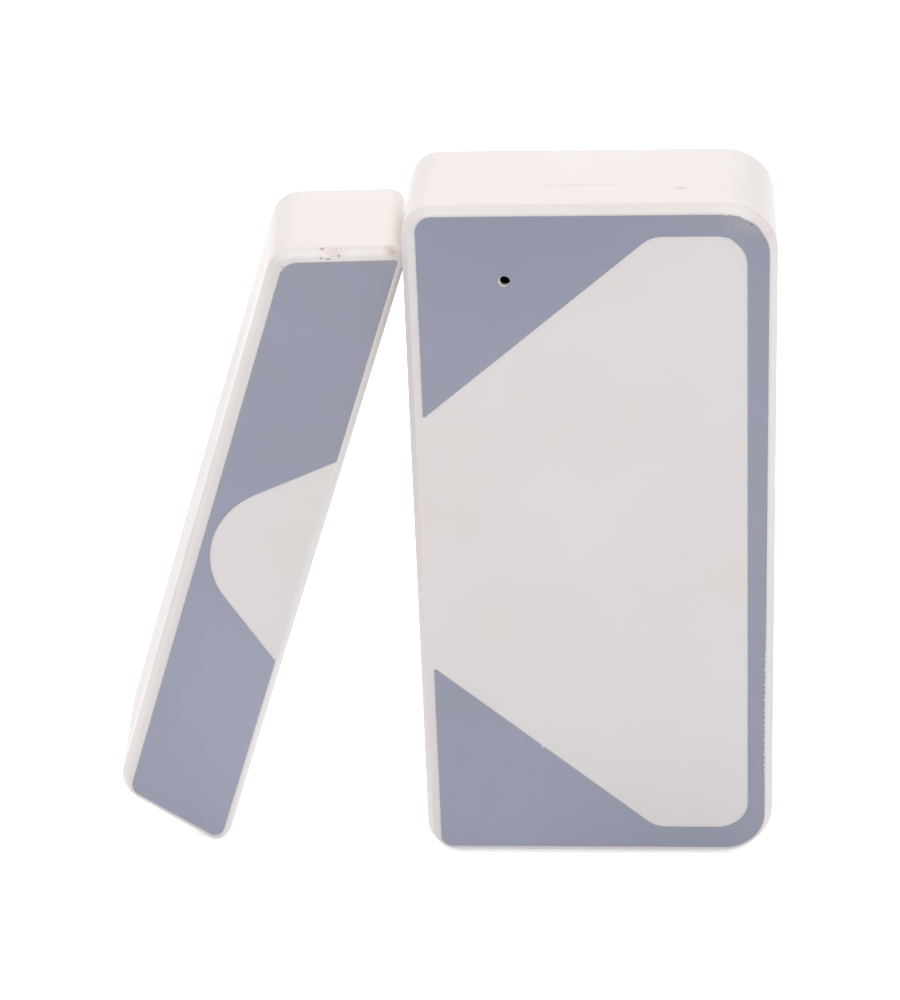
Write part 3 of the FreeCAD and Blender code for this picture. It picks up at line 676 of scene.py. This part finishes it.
def closed_piece(name: str, points: Array, faces: Array,
                 close: Callable[[bmesh.types.BMesh], None]) -> Object:
    """Makes an object with a closed, smoothly shaded mesh.

    Args:
        name: Name of the object.
        points: Points of the open mesh.
        faces: Its quads.
        close: Closes the mesh and leaves it in metres.

    Returns:
        The linked object, at the origin, with outward faces.
    """
    mesh = bpy.data.meshes.new(name)
    mesh.from_pydata(points.tolist(), [], faces.tolist())
    shaped = bmesh.new()
    shaped.from_mesh(mesh)
    close(shaped)
    bmesh.ops.recalc_face_normals(shaped, faces=shaped.faces)
    shaped.to_mesh(mesh)
    shaped.free()
    mesh.shade_smooth()
    mesh.set_sharp_from_angle(angle=SHARP_ANGLE)
    return linked(name, mesh)


def grid_piece(name: str, points: Array, close_rows: bool = False) -> Object:
    """Makes an object of a grid whose columns close on themselves.

    Args:
        name: Name of the object.
        points: Rows by columns by 3, in millimetres.
        close_rows: Whether the last row joins the first.

    Returns:
        The linked object, with merged poles.
    """
    def merge(shaped: bmesh.types.BMesh) -> None:
        """Merges the points of each pole."""
        bmesh.ops.remove_doubles(shaped, verts=shaped.verts, dist=MERGE_DISTANCE)

    numbers = np.arange(points[..., 0].size).reshape(points.shape[:2])
    return closed_piece(name, points.reshape(-1, 3) * MM, quads(numbers, close_rows), merge)


@dataclass(frozen=True)
class Pose:
    """Place of a housing: leaned about Y, turned about Z and moved, in degrees and millimetres."""

    lean: float = 0.0
    turn: float = 0.0
    place: Triple = (0.0, 0.0, 0.0)

    def matrix(self) -> Array:
        """Rotation of the pose as a 3 by 3 array."""
        turned = Matrix.Rotation(math.radians(self.turn), 3, "Z")
        return np.array(turned @ Matrix.Rotation(math.radians(self.lean), 3, "Y"))

    def moved(self, points: Array) -> Array:
        """Takes points from the housing's own frame to the part's frame."""
        return points @ self.matrix().T + np.array(self.place)


@dataclass
class HousingShell:
    """Moulded front shell: a deep box with a softened bevel round its face.

    The surface is a profile carried round the outline, in rows of inset and depth. Both sides
    of the face are drawn in to the lamp hole, or to a point where there is no hole.
    """

    node: str
    outline: Outline
    wall: float
    face_wall: float
    pose: Pose = field(default_factory=Pose)
    hole: Pair | None = None
    hole_r: float = 0.0
    depth: float = 15.0
    rim_inset: float = 0.65
    rim_depth: float = 1.3
    rim_round: float = 0.25
    face_round: float = 0.3
    back_round: float = 0.3
    cover_thickness: float = 1.5
    cover_ledge: float = 0.7
    hole_round: float = 0.05
    hole_lip: float = 0.5
    recess_r: float = 1.4
    edge_round: float = 0.08
    face_rows: int = 9
    inside_rows: int = 7
    mouth_rows: int = 6

    def profile(self) -> Array:
        """Works out the rows from the face round the outside and back along the inside.

        Returns:
            Rows of inset and depth, from the face to the face wall's inner side.
        """
        front, back = FACE_Y, FACE_Y + self.depth
        ledge = back - self.cover_thickness
        step_inset = self.wall - self.cover_ledge
        face_inset = self.rim_inset + self.face_round
        corners = [
            (face_inset, front), (self.rim_inset, front), (0.0, front + self.rim_depth),
            (0.0, back), (step_inset, back), (step_inset, ledge), (self.wall, ledge),
            (self.wall, front + self.face_wall),
        ]
        rounds = [0.0, self.face_round, self.rim_round, self.back_round, self.edge_round,
                  self.edge_round, self.edge_round, 0.0]
        return rounded_profile(corners, rounds)

    def side_rows(self, rows: Array) -> Array:
        """Leaves the rows as they are; the sensor's shell adds rows where its mould marks sink."""
        return rows

    def hole_profile(self) -> Array:
        """Works out the lamp hole's rows, or two of no radius where there is no hole.

        Returns:
            Rows of radius and depth, from the face wall's inner side to the face.
        """
        front, inner = FACE_Y, FACE_Y + self.face_wall
        if not self.hole:
            return np.array([(0.0, inner), (0.0, front)])
        turn = np.linspace(math.pi / 2, 0, self.mouth_rows)
        mouth = np.stack([self.hole_r + self.hole_round * (1 - np.sin(turn)),
                          front + self.hole_round * (1 - np.cos(turn))], axis=1)
        lip = front + self.hole_lip
        return np.concatenate([[(self.recess_r, inner), (self.recess_r, lip), (self.hole_r, lip)],
                               mouth])

    def surface(self) -> Array:
        """Works out the whole grid of the shell in its own frame.

        Returns:
            Rows by columns by X, Y and Z.
        """
        flat, normal, _ = self.outline.sampled()
        rows, hole = self.side_rows(self.profile()), self.hole_profile()
        walls = carried(flat, normal, rows[:, :1], rows[:, 1])
        centre = np.array(self.hole) if self.hole else flat.mean(axis=0)
        rings = carried(np.broadcast_to(centre, flat.shape), unit(flat - centre), -hole[:, :1],
                        hole[:, 1])
        face = drawn_in(walls[0], rings[-1], self.face_rows)
        inside = drawn_in(walls[-1], rings[0], self.inside_rows)
        return np.concatenate([face[::-1], walls, inside, rings[1:-1]])

    def build(self) -> Object:
        """Builds the shell as one closed mesh in place of its node."""
        shell = grid_piece(f"{self.node}_skin", self.pose.moved(self.surface()),
                           close_rows=self.hole is not None)
        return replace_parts(shell, self.node)


@dataclass(frozen=True)
class MouldMark:
    """Shallow slot with round ends, along X in the top wall."""

    x: float
    y: float
    length: float
    width: float
    depth: float

    def sunk(self, grid: Array) -> Array:
        """Works out how deep each point of a grid lies in the mark.

        It is the full depth along the middle line and rises to the wall at half the width by a
        smooth step of the distance from that line.

        Args:
            grid: Points as X, Y and Z.

        Returns:
            Depth at each point.
        """
        past = np.maximum(np.abs(grid[..., 0] - self.x) - (self.length - self.width) / 2, 0)
        away = np.hypot(past, grid[..., 1] - self.y) / (self.width / 2)
        near = np.clip(1 - away, 0, 1)
        return self.depth * near * near * (3 - 2 * near)


@dataclass
class SensorShell(HousingShell):
    """The sensor's shell, whose top wall has a long shallow groove and a short dimple."""

    groove: MouldMark = MouldMark(-0.75, -1.75, 7.7, 0.5, 0.1)
    dimple: MouldMark = MouldMark(8.55, -2.7, 1.5, 0.95, 0.24)
    mark_step: float = 0.06

    def side_rows(self, rows: Array) -> Array:
        """Adds rows across the groove and the dimple to the long outer side.

        Args:
            rows: Profile rows of inset and depth.

        Returns:
            The rows with the further ones.
        """
        long_side = int(np.argmax(np.diff(rows[:, 1]) * (rows[:-1, 0] < TOUCH)))
        depths = np.arange(self.dimple.y - self.dimple.width,
                           self.groove.y + 2 * self.groove.width, self.mark_step)
        extra = np.stack([np.zeros_like(depths), depths], axis=1)
        return np.concatenate([rows[:long_side + 1], extra, rows[long_side + 1:]])

    def surface(self) -> Array:
        """Sinks both marks into the top wall.

        Returns:
            The shell's grid with the marks.
        """
        grid = super().surface()
        on_top = grid[..., 2] > self.outline.corners[:, 1].max() - TOUCH
        for mark in (self.groove, self.dimple):
            grid[..., 2] -= np.where(on_top, mark.sunk(grid), 0)
        return grid


@dataclass(frozen=True)
class Fray:
    """Stretch of a print's edge that is worn to small teeth, between two corners of a box."""

    low: Pair
    high: Pair
    depth: float
    pitch: float
    uneven: float = 0.25
    beat: float = 2.3
    ramp: float = 8.0

    def inset(self, points: Array) -> Array:
        """Works out the teeth, half sine waves that fade out towards the stretch's ends.

        Args:
            points: Points of the outline.

        Returns:
            Inset of each point.
        """
        box = np.array(self.high) - np.array(self.low)
        share = np.clip((points - np.array(self.low)) / box, 0, 1)
        hump = np.clip(self.ramp * share * (1 - share), 0, 1).prod(axis=1)
        path = points.sum(axis=1) / self.pitch
        teeth = np.abs(np.sin(math.pi * path)) * (
            1 - self.uneven + self.uneven * np.sin(path * self.beat))
        return self.depth * hump * teeth


@dataclass
class PrintedFace:
    """Pad-printed coat on a housing's face, open over the pale field.

    Its edge is a profile carried round the outline: up from the face, over a small round and a
    short way in. The flat rest is filled. The attribute named edge says how dark the coat has
    dried there.
    """

    node: str
    outline: Outline
    edged: tuple[float, ...]
    pose: Pose = field(default_factory=Pose)
    hole: Pair | None = None
    hole_r: float = 0.0
    thickness: float = 0.1
    edge_round: float = 0.04
    edge_band: float = 0.45
    sunk: float = 0.06
    wander: float = 0.012
    wander_waves: tuple[int, ...] = (23, 61, 97, 149)
    frays: tuple[Fray, ...] = ()
    arc_rows: int = 5
    corner_room: float = 0.5
    room_slope: float = 0.3
    least_band: float = 0.01
    hole_points: int = 48
    hole_dark: float = 0.6

    def rows(self) -> Array:
        """Works out the edge's profile, from the face over a quarter round to the flat.

        Returns:
            Rows of inset and depth.
        """
        front = FACE_Y - self.thickness
        turn = np.linspace(0, math.pi / 2, self.arc_rows)
        arc = np.stack([self.edge_round * (1 - np.cos(turn)),
                        front + self.edge_round * (1 - np.sin(turn))], axis=1)
        return np.concatenate([[[0.0, FACE_Y + self.sunk]], arc, [[self.edge_band, front]]])

    def wavered(self, points: Array) -> Array:
        """Works out how far each point of the outline lies inwards of the true line.

        It is a sum of sine waves along the outline with a whole number of periods each, and
        the frayed stretches.

        Args:
            points: Points of the outline.

        Returns:
            Inset of each point.
        """
        length = np.cumsum(np.linalg.norm(np.diff(points, axis=0, prepend=points[-1:]), axis=1))
        turns = 2 * math.pi * length / length[-1]
        waves = sum(np.sin(count * turns + count) for count in self.wander_waves)
        return (self.wander * (1 + waves / len(self.wander_waves))
                + sum(fray.inset(points) for fray in self.frays))

    def room(self, points: Array) -> Array:
        """Works out how far the edge band may reach in without folding at the tight corners.

        It is a part of the tight corner's round, and grows with the distance from the corner.

        Args:
            points: Points of the outline.

        Returns:
            The largest inset at each point.
        """
        rounds = np.array(self.outline.rounds)
        tight = rounds < self.edge_band
        away = np.linalg.norm(points[:, None] - self.outline.corners[tight][None], axis=2)
        return (self.corner_room * rounds[tight] + self.room_slope * away).min(axis=1)

    def loops(self) -> list[tuple[Array, Array]]:
        """Works out the edge surfaces round the outline and round the lamp hole.

        Returns:
            For each loop its grid of points and the darkness of each of them.
        """
        rows = self.rows()
        flat, normal, owner = self.outline.sampled()
        inset = rows[:, :1] + self.wavered(flat)[None]
        inset[-1] = np.minimum(inset[-1], np.maximum(self.room(flat), inset[-2] + self.least_band))
        dark = np.ones((len(rows), 1))
        dark[-1] = 0.0
        found = [(carried(flat, normal, inset, rows[:, 1]), dark * np.array(self.edged)[owner])]
        if self.hole:
            angles = np.linspace(0, -2 * math.pi, self.hole_points, endpoint=False)
            away = np.stack([np.cos(angles), np.sin(angles)], axis=1)
            rim = carried(np.array(self.hole) + self.hole_r * away, -away, rows[:, :1], rows[:, 1])
            found.append((rim, dark * np.full(len(away), self.hole_dark)))
        return found

    def build(self) -> Object:
        """Builds the coat as one closed mesh in place of its node.

        Returns:
            The new piece.
        """
        loops, faces, first = self.loops(), [], 0
        for grid, shade in loops:
            faces.append(quads(first + np.arange(shade.size).reshape(shade.shape)))
            first += shade.size
        flat = np.concatenate([grid.reshape(-1, 3) for grid, _ in loops])
        middle = FACE_Y - self.thickness / 2

        def fill(shaped: bmesh.types.BMesh) -> None:
            """Fills the front and the back between the loops, and then goes to metres.

            Args:
                shaped: The open mesh in millimetres.
            """
            shaped.verts.ensure_lookup_table()
            open_edges = [edge for edge in shaped.edges if edge.is_boundary]
            for in_front in (True, False):
                ring = [edge for edge in open_edges
                        if (flat[edge.verts[0].index, 1] < middle) == in_front]
                bmesh.ops.triangle_fill(shaped, edges=ring, use_beauty=True)
            bmesh.ops.scale(shaped, vec=(MM, MM, MM), verts=shaped.verts)

        coat = closed_piece(f"{self.node}_coat", self.pose.moved(flat), np.concatenate(faces), fill)
        dark = np.zeros(len(coat.data.vertices), dtype=np.float32)
        dark[:first] = np.concatenate([shade.reshape(-1) for _, shade in loops])
        coat.data.attributes.new("edge", "FLOAT", "POINT").data.foreach_set("value", dark)
        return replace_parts(coat, self.node)


@dataclass
class FoamPad:
    """Foam mounting tape in its recess, with sides that swell and a soft top edge.

    The surface is a profile carried round the outline, closed at the middle of both faces. The
    outer face sinks by slow waves, as foam does where a finger has pressed it on.
    """

    node: str
    outline: Outline
    floor_y: float
    pose: Pose = field(default_factory=Pose)
    thickness: float = 0.8
    swell: float = 0.07
    edge_round: float = 0.16
    dent: float = 0.05
    dent_waves: Pair = (2.9, 4.3)
    dent_ramp: float = 3.0
    side_rows: int = 9
    arc_rows: int = 7
    face_rows: int = 14

    def surface(self) -> Array:
        """Works out the closed grid, with the sides' swell as half a sine wave of the depth.

        Returns:
            Rows by columns by X, Y and Z.
        """
        flat, normal, _ = self.outline.sampled()
        share = np.linspace(0, 1, self.side_rows)
        turn = np.linspace(0, math.pi / 2, self.arc_rows)[1:]
        top = self.floor_y + self.thickness
        inset = np.concatenate([self.swell * (1 - np.sin(math.pi * share)),
                                self.swell + self.edge_round * (1 - np.cos(turn))])
        depth = np.concatenate([self.floor_y + share * (self.thickness - self.edge_round),
                                top - self.edge_round * (1 - np.sin(turn))])
        walls = carried(flat, normal, inset[:, None], depth)
        x, z = flat.mean(axis=0)
        under = drawn_in(walls[0], np.array([x, self.floor_y, z]), self.face_rows)
        over = drawn_in(walls[-1], np.array([x, top, z]), self.face_rows)
        along_x, along_z = self.dent_waves
        wave = np.sin(over[..., 0] / along_x + 1) * np.sin(over[..., 2] / along_z)
        inward = np.minimum(eased(self.face_rows)[1:, None] * self.dent_ramp, 1)
        over[..., 1] -= self.dent * inward * (1 + wave) / 2
        return np.concatenate([under[::-1], walls, over])

    def build(self) -> Object:
        """Returns:
            The new piece.
        """
        pad = grid_piece(f"{self.node}_foam", self.pose.moved(self.surface()))
        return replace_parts(pad, self.node)


# The object

@dataclass
class DoorSensor:
    """The whole set: shells, prints and tapes as surfaces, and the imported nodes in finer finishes.

    Sizes are in millimetres and angles in degrees. Rounds run counter-clockwise, the sensor's
    from the lower left corner and the magnet housing's from the lower right.
    """

    frame: dict[str, Any]
    height: float = 71.0
    width: float = 35.0
    magnet_width: float = 12.4
    magnet_height: float = 70.2
    magnet_taper: float = 17.6
    magnet_lean: float = MAGNET_LEAN
    magnet_turn: float = 4.1
    magnet_place: Triple = (-39.288534, 1.6, -0.977221)
    depth: float = 15.0
    magnet_depth: float = 15.6
    wall: float = 1.6
    magnet_wall: float = 1.4
    rounds: tuple[float, ...] = (3.0, 4.9, 4.9, 3.0)
    magnet_rounds: tuple[float, ...] = (1.6, 1.6, 3.0, 3.04)
    magnet_face_round: float = 0.65
    coarse_step: float = 1.5
    groove_step: float = 0.2
    print_step: float = 0.4
    fray_step: float = 0.1
    hole: Pair = (-7.85, 63.84)
    hole_r: float = 0.5
    print_hole: Pair = (-7.93, 63.77)
    print_hole_r: float = 0.56
    sensor_print_margins: tuple[float, float, float, float] = (1.0, 0.8, 0.7, 1.4)
    magnet_print_margins: Triple = (0.8, 1.03, 1.2)
    sensor_print_rounds: tuple[float, ...] = (1.1, 4.0, 4.0, 1.6)
    sensor_print_points: int = 40
    sensor_print_edges: tuple[float, ...] = (0.6, 0.3, 0.7, 0.5, 0, 0, 0, 0, 0, 0.5)
    sensor_frays: tuple[Fray, ...] = (Fray((15.7, 8.0), (17.7, 25.6), 0.15, 0.58),
                                      Fray((12.0, 67.5), (16.6, 71.5), 0.13, 0.7))
    magnet_print_rounds: tuple[float, ...] = (0.95, 0.3, 1.8, 1.4)
    magnet_print_edges: tuple[float, ...] = (0.5, 0, 0, 0.5, 0.7, 0.4, 0.5)
    print_tip_round: float = 0.15
    field_half: float = 12.56
    field_reach: float = 32.37
    field_slant: float = 23.25
    field_rise: float = 0.28
    field_right_margins: Pair = (2.47, 2.87)
    field_round: float = 3.0
    field_joint_gap: float = 0.25
    field_nose_strip: float = 0.93
    tape_recess: float = 0.3
    tape_round: float = 1.5
    sensor_tape_margin: float = 4.0
    magnet_tape_margin: float = 2.6
    materials: dict[str, bpy.types.Material] = field(default_factory=dict)

    def material(self, finish: Finish) -> bpy.types.Material:
        """Returns the material of a finish, made once."""
        if finish.name not in self.materials:
            self.materials[finish.name] = finish.material()
        return self.materials[finish.name]

    def dress(self, piece: Object, finish: Finish) -> None:
        """Gives a piece its finish in every slot."""
        piece.data.materials.clear()
        piece.data.materials.append(self.material(finish))

    def sensor_corners(self) -> Array:
        """Corners of the sensor's outline, from the lower left."""
        half = self.width / 2
        return np.array([(-half, 0.0), (half, 0.0), (half, self.height), (-half, self.height)])

    def magnet_corners(self) -> Array:
        """Corners of the magnet housing's outline in its own frame, from the lower right."""
        rise = self.magnet_width * math.tan(math.radians(self.magnet_taper))
        return np.array([(0.0, 0.0), (0.0, self.magnet_height),
                         (-self.magnet_width, self.magnet_height - rise),
                         (-self.magnet_width, rise)])

    def sensor_shell(self) -> SensorShell:
        """Describes the sensor's shell.

        Returns:
            The shell, with finer columns along the top where the mould marks are.
        """
        coarse = self.coarse_step
        outline = Outline(self.sensor_corners(), self.rounds,
                          (coarse, coarse, self.groove_step, coarse))
        return SensorShell("sensor_front_shell", outline, wall=self.wall, face_wall=self.wall,
                           depth=self.depth, hole=self.hole, hole_r=self.hole_r)

    def magnet_pose(self) -> Pose:
        """Pose of the leaning magnet housing."""
        return Pose(self.magnet_lean, self.magnet_turn, self.magnet_place)

    def magnet_shell(self) -> HousingShell:
        """Describes the magnet housing's shell, in a frame of its own."""
        outline = Outline(self.magnet_corners(), self.magnet_rounds, (self.coarse_step,) * 4)
        return HousingShell("magnet_front_shell", outline, wall=self.magnet_wall,
                            face_wall=self.magnet_wall, depth=self.magnet_depth,
                            pose=self.magnet_pose(), face_round=self.magnet_face_round)

    def field_slope(self) -> float:
        """Rise of the pale field's slanted edges for each millimetre across."""
        return (self.field_reach - self.field_half) / self.field_slant

    def sensor_print(self) -> PrintedFace:
        """Describes the sensor's print, a frame that the field opens to the left.

        Returns:
            The print, with a hole for the lamp.
        """
        foot, right, top, left = self.sensor_print_margins
        frame = moved_in(self.sensor_corners(), (foot, right, top, left))
        centre = self.height / 2 + self.field_rise
        opening = self.field_half + self.field_slope() * left
        shoulder = self.field_slant - self.width / 2
        foot_x, top_x = (self.width / 2 - margin for margin in self.field_right_margins)
        inner = [(frame[0, 0], centre + opening), (shoulder, centre + self.field_reach),
                 (top_x, centre + self.field_reach), (foot_x, centre - self.field_reach),
                 (shoulder, centre - self.field_reach), (frame[0, 0], centre - opening)]
        tip, bend = self.print_tip_round, self.field_round
        outline = Outline(np.concatenate([frame, inner]),
                          (*self.sensor_print_rounds, tip, bend, bend, bend, bend, tip),
                          (self.print_step, self.fray_step, self.fray_step)
                          + (self.print_step,) * 7, round_count=self.sensor_print_points)
        return PrintedFace("sensor_face_print", outline, edged=self.sensor_print_edges,
                           hole=self.print_hole, hole_r=self.print_hole_r, frays=self.sensor_frays)

    def magnet_print(self) -> PrintedFace:
        """Describes the magnet housing's print, which the field's nose opens to the right.

        The nose's round touches both slants and stops short of the left edge by a strip.

        Returns:
            The print, in the housing's pose.
        """
        right, end, left = self.magnet_print_margins
        frame = moved_in(self.magnet_corners(), (right, end, left, end))
        slope, middle = self.field_slope(), self.magnet_height / 2
        half = self.field_half - slope * self.field_joint_gap
        point = half / slope
        nose = self.magnet_width - left - self.field_nose_strip
        sine = math.sin(math.atan(slope))
        nose_round = (point - nose) * sine / (1 - sine)
        opening = half - slope * right
        outlined = np.array([frame[0], (-right, middle - opening), (-point, middle),
                             (-right, middle + opening), frame[1], frame[2], frame[3]])
        foot_round, *far_rounds = self.magnet_print_rounds
        tip = self.print_tip_round
        outline = Outline(outlined, (foot_round, tip, nose_round, tip, *far_rounds),
                          (self.print_step,) * 7)
        return PrintedFace("magnet_face_print", outline, edged=self.magnet_print_edges,
                           pose=self.magnet_pose())

    def foam_pads(self) -> list[FoamPad]:
        """Describes the two mounting tapes.

        Returns:
            The sensor's tape and the magnet housing's.
        """
        floor = FACE_Y - self.tape_recess
        made = []
        for node, corners, margin, depth, pose in (
                ("sensor_mount_tape", self.sensor_corners(), self.sensor_tape_margin,
                 self.depth, Pose()),
                ("magnet_mount_tape", self.magnet_corners(), self.magnet_tape_margin,
                 self.magnet_depth, self.magnet_pose())):
            outline = Outline(moved_in(corners, (margin,) * 4), (self.tape_round,) * 4,
                              (self.coarse_step,) * 4)
            made.append(FoamPad(node, outline, floor + depth, pose))
        return made

    def add(self, piece: Object, finish: Finish, slot: str) -> None:
        """Dresses a new piece and lets it ride.

        Args:
            piece: The new piece.
            finish: Its finish.
            slot: The record's material slot; not used.
        """
        self.dress(piece, finish)
        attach(piece, BODY)
        LOG.info("%s: %d faces", piece.name, len(piece.data.polygons))

    def build(self) -> None:
        """Builds the new pieces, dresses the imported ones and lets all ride."""
        self.add(self.sensor_shell().build(), SENSOR_ABS, "white_plastic")
        self.add(self.magnet_shell().build(), MAGNET_ABS, "white_plastic")
        self.add(self.sensor_print().build(), SENSOR_INK, "grey_blue_print")
        self.add(self.magnet_print().build(), PRINT_INK, "grey_blue_print")
        for pad in self.foam_pads():
            self.add(pad.build(), PE_FOAM, "white_foam")
        for node, finish in NODE_FINISHES.items():
            self.dress(self.frame["nodes"][node], finish)
            LOG.info("%s: %s", node, finish.name)


# Camera and studio

@dataclass(frozen=True)
class StudioCamera:
    """Camera at the photograph's viewing angle.

    The focal length is in pixels of a 900 by 1000 picture, angles in degrees and lengths in
    millimetres. It looks at the target from in front, a little to the right and above.
    """

    focal_px: float = 3276.7
    long_side_px: float = 1000.0
    film_mm: float = 36.0
    azimuth: float = 4.746
    elevation: float = 27.526
    roll: float = -2.340
    distance: float = 324.787
    target: Triple = (-14.44, 0.0, 36.891)
    clip: Pair = (0.01, 10.0)

    def build(self) -> None:
        """Makes the camera and sets it as the scene's."""
        azimuth, elevation, roll = map(math.radians, (self.azimuth, self.elevation, self.roll))
        data = bpy.data.cameras.new("studio_camera")
        data.sensor_width = self.film_mm
        data.lens = self.focal_px * self.film_mm / self.long_side_px
        data.clip_start, data.clip_end = self.clip
        camera = linked("studio_camera", data)
        camera.matrix_world = (
            Matrix.Translation(Vector(self.target) * MM) @ Matrix.Rotation(azimuth, 4, "Z")
            @ Matrix.Rotation(math.pi / 2 - elevation, 4, "X") @ Matrix.Rotation(roll, 4, "Z")
            @ Matrix.Translation((0.0, 0.0, self.distance * MM)))
        bpy.context.scene.camera = camera


@dataclass(frozen=True)
class Softbox:
    """Square soft light that faces the object. Lengths are in metres, its power in watts."""

    name: str
    place: Triple
    size: float
    power: float
    colour: str = WHITE
    aim: Triple = (-0.01, 0.0, 0.035)

    def build(self) -> None:
        """Hangs the light and turns it to its aim."""
        data = bpy.data.lights.new(self.name, "AREA")
        data.energy, data.size = self.power, self.size
        data.color = linear(self.colour)[:3]
        lamp = linked(self.name, data)
        lamp.location = self.place
        way = Vector(self.aim) - Vector(self.place)
        lamp.rotation_euler = way.to_track_quat("-Z", "Y").to_euler()


@dataclass(frozen=True)
class Studio:
    """Pale floor, even sky and soft lights from above, the upper left and the right."""

    floor_size: float = 3.0
    paper: str = "#F7F7F8"
    floor_glow: float = 0.1
    sky_strength: float = 0.54
    lights: tuple[Softbox, ...] = (
        Softbox("overhead_softbox", (0.0, 0.55, 0.85), 0.7, 3.5, "#FFF7F0"),
        Softbox("upper_left_softbox", (-0.5, -0.1, 0.92), 0.8, 1.6),
        Softbox("right_softbox", (1.0, -0.25, 0.35), 0.8, 1.3, "#D8EAFF"),
        Softbox("low_fill", (-0.02, -0.28, 0.06), 0.12, 0.053, "#FBFAFF"),
    )

    def straight_or_mirrored(self, tree: Tree) -> Socket:
        """Tells rays from the camera, a gloss or a clear body from those of the light itself.

        Args:
            tree: Node tree of the floor or the sky.

        Returns:
            1 for the first and 0 for the others.
        """
        path = add_node(tree, "LightPath")
        seen = path.outputs["Is Camera Ray"]
        for ray in ("Is Glossy Ray", "Is Transmission Ray"):
            seen = add_node(tree, "Math", {0: seen, 1: path.outputs[ray]},
                            operation="MAXIMUM").outputs[0]
        return seen

    def floor(self) -> None:
        """Makes the floor, white to the camera apart from the object's shadow."""
        half = self.floor_size / 2
        mesh = bpy.data.meshes.new("studio_floor")
        mesh.from_pydata([(-half, -half, 0), (half, -half, 0), (half, half, 0), (-half, half, 0)],
                         [], [(0, 1, 2, 3)])
        floor = linked("studio_floor", mesh)
        made = bpy.data.materials.new("pale_paper")
        tree = empty_tree(made)
        paper = add_node(tree, "BsdfDiffuse", {"Color": linear(self.paper)})
        glow = add_node(tree, "Emission", {"Color": linear(WHITE), "Strength": self.floor_glow})
        doubled = add_node(tree, "AddShader", {0: paper.outputs[0], 1: paper.outputs[0]})
        seen = add_node(tree, "AddShader", {0: doubled.outputs[0], 1: glow.outputs[0]})
        surface = add_node(tree, "MixShader",
                           {0: self.straight_or_mirrored(tree), 1: paper.outputs[0],
                            2: seen.outputs[0]})
        add_node(tree, "OutputMaterial", {"Surface": surface.outputs[0]})
        mesh.materials.append(made)

    def sky(self) -> None:
        """Makes the even world light, white where the camera looks past the floor."""
        world = bpy.data.worlds.new("studio_sky")
        tree = empty_tree(world)
        strength = add_node(tree, "Mix",
                            {0: self.straight_or_mirrored(tree), 2: self.sky_strength, 3: 1.0})
        light = add_node(tree, "Background",
                         {"Color": linear(WHITE), "Strength": strength.outputs[0]})
        add_node(tree, "OutputWorld", {"Surface": light.outputs[0]})
        bpy.context.scene.world = world

    def build(self) -> None:
        """Makes the studio."""
        self.floor()
        self.sky()
        for light in self.lights:
            light.build()
        bpy.context.scene.view_settings.view_transform = "Standard"


def corners(box: tuple[Vector, Vector]) -> list[list[float]]:
    """Turns a box's two corners to plain lists."""
    return [list(corner) for corner in box]


def main() -> None:
    """Builds the object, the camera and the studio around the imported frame."""
    logging.basicConfig(level=logging.INFO, format="%(name)s: %(message)s")
    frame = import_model()
    DoorSensor(frame).build()
    StudioCamera().build()
    Studio().build()


if __name__ == "__main__":
    main()
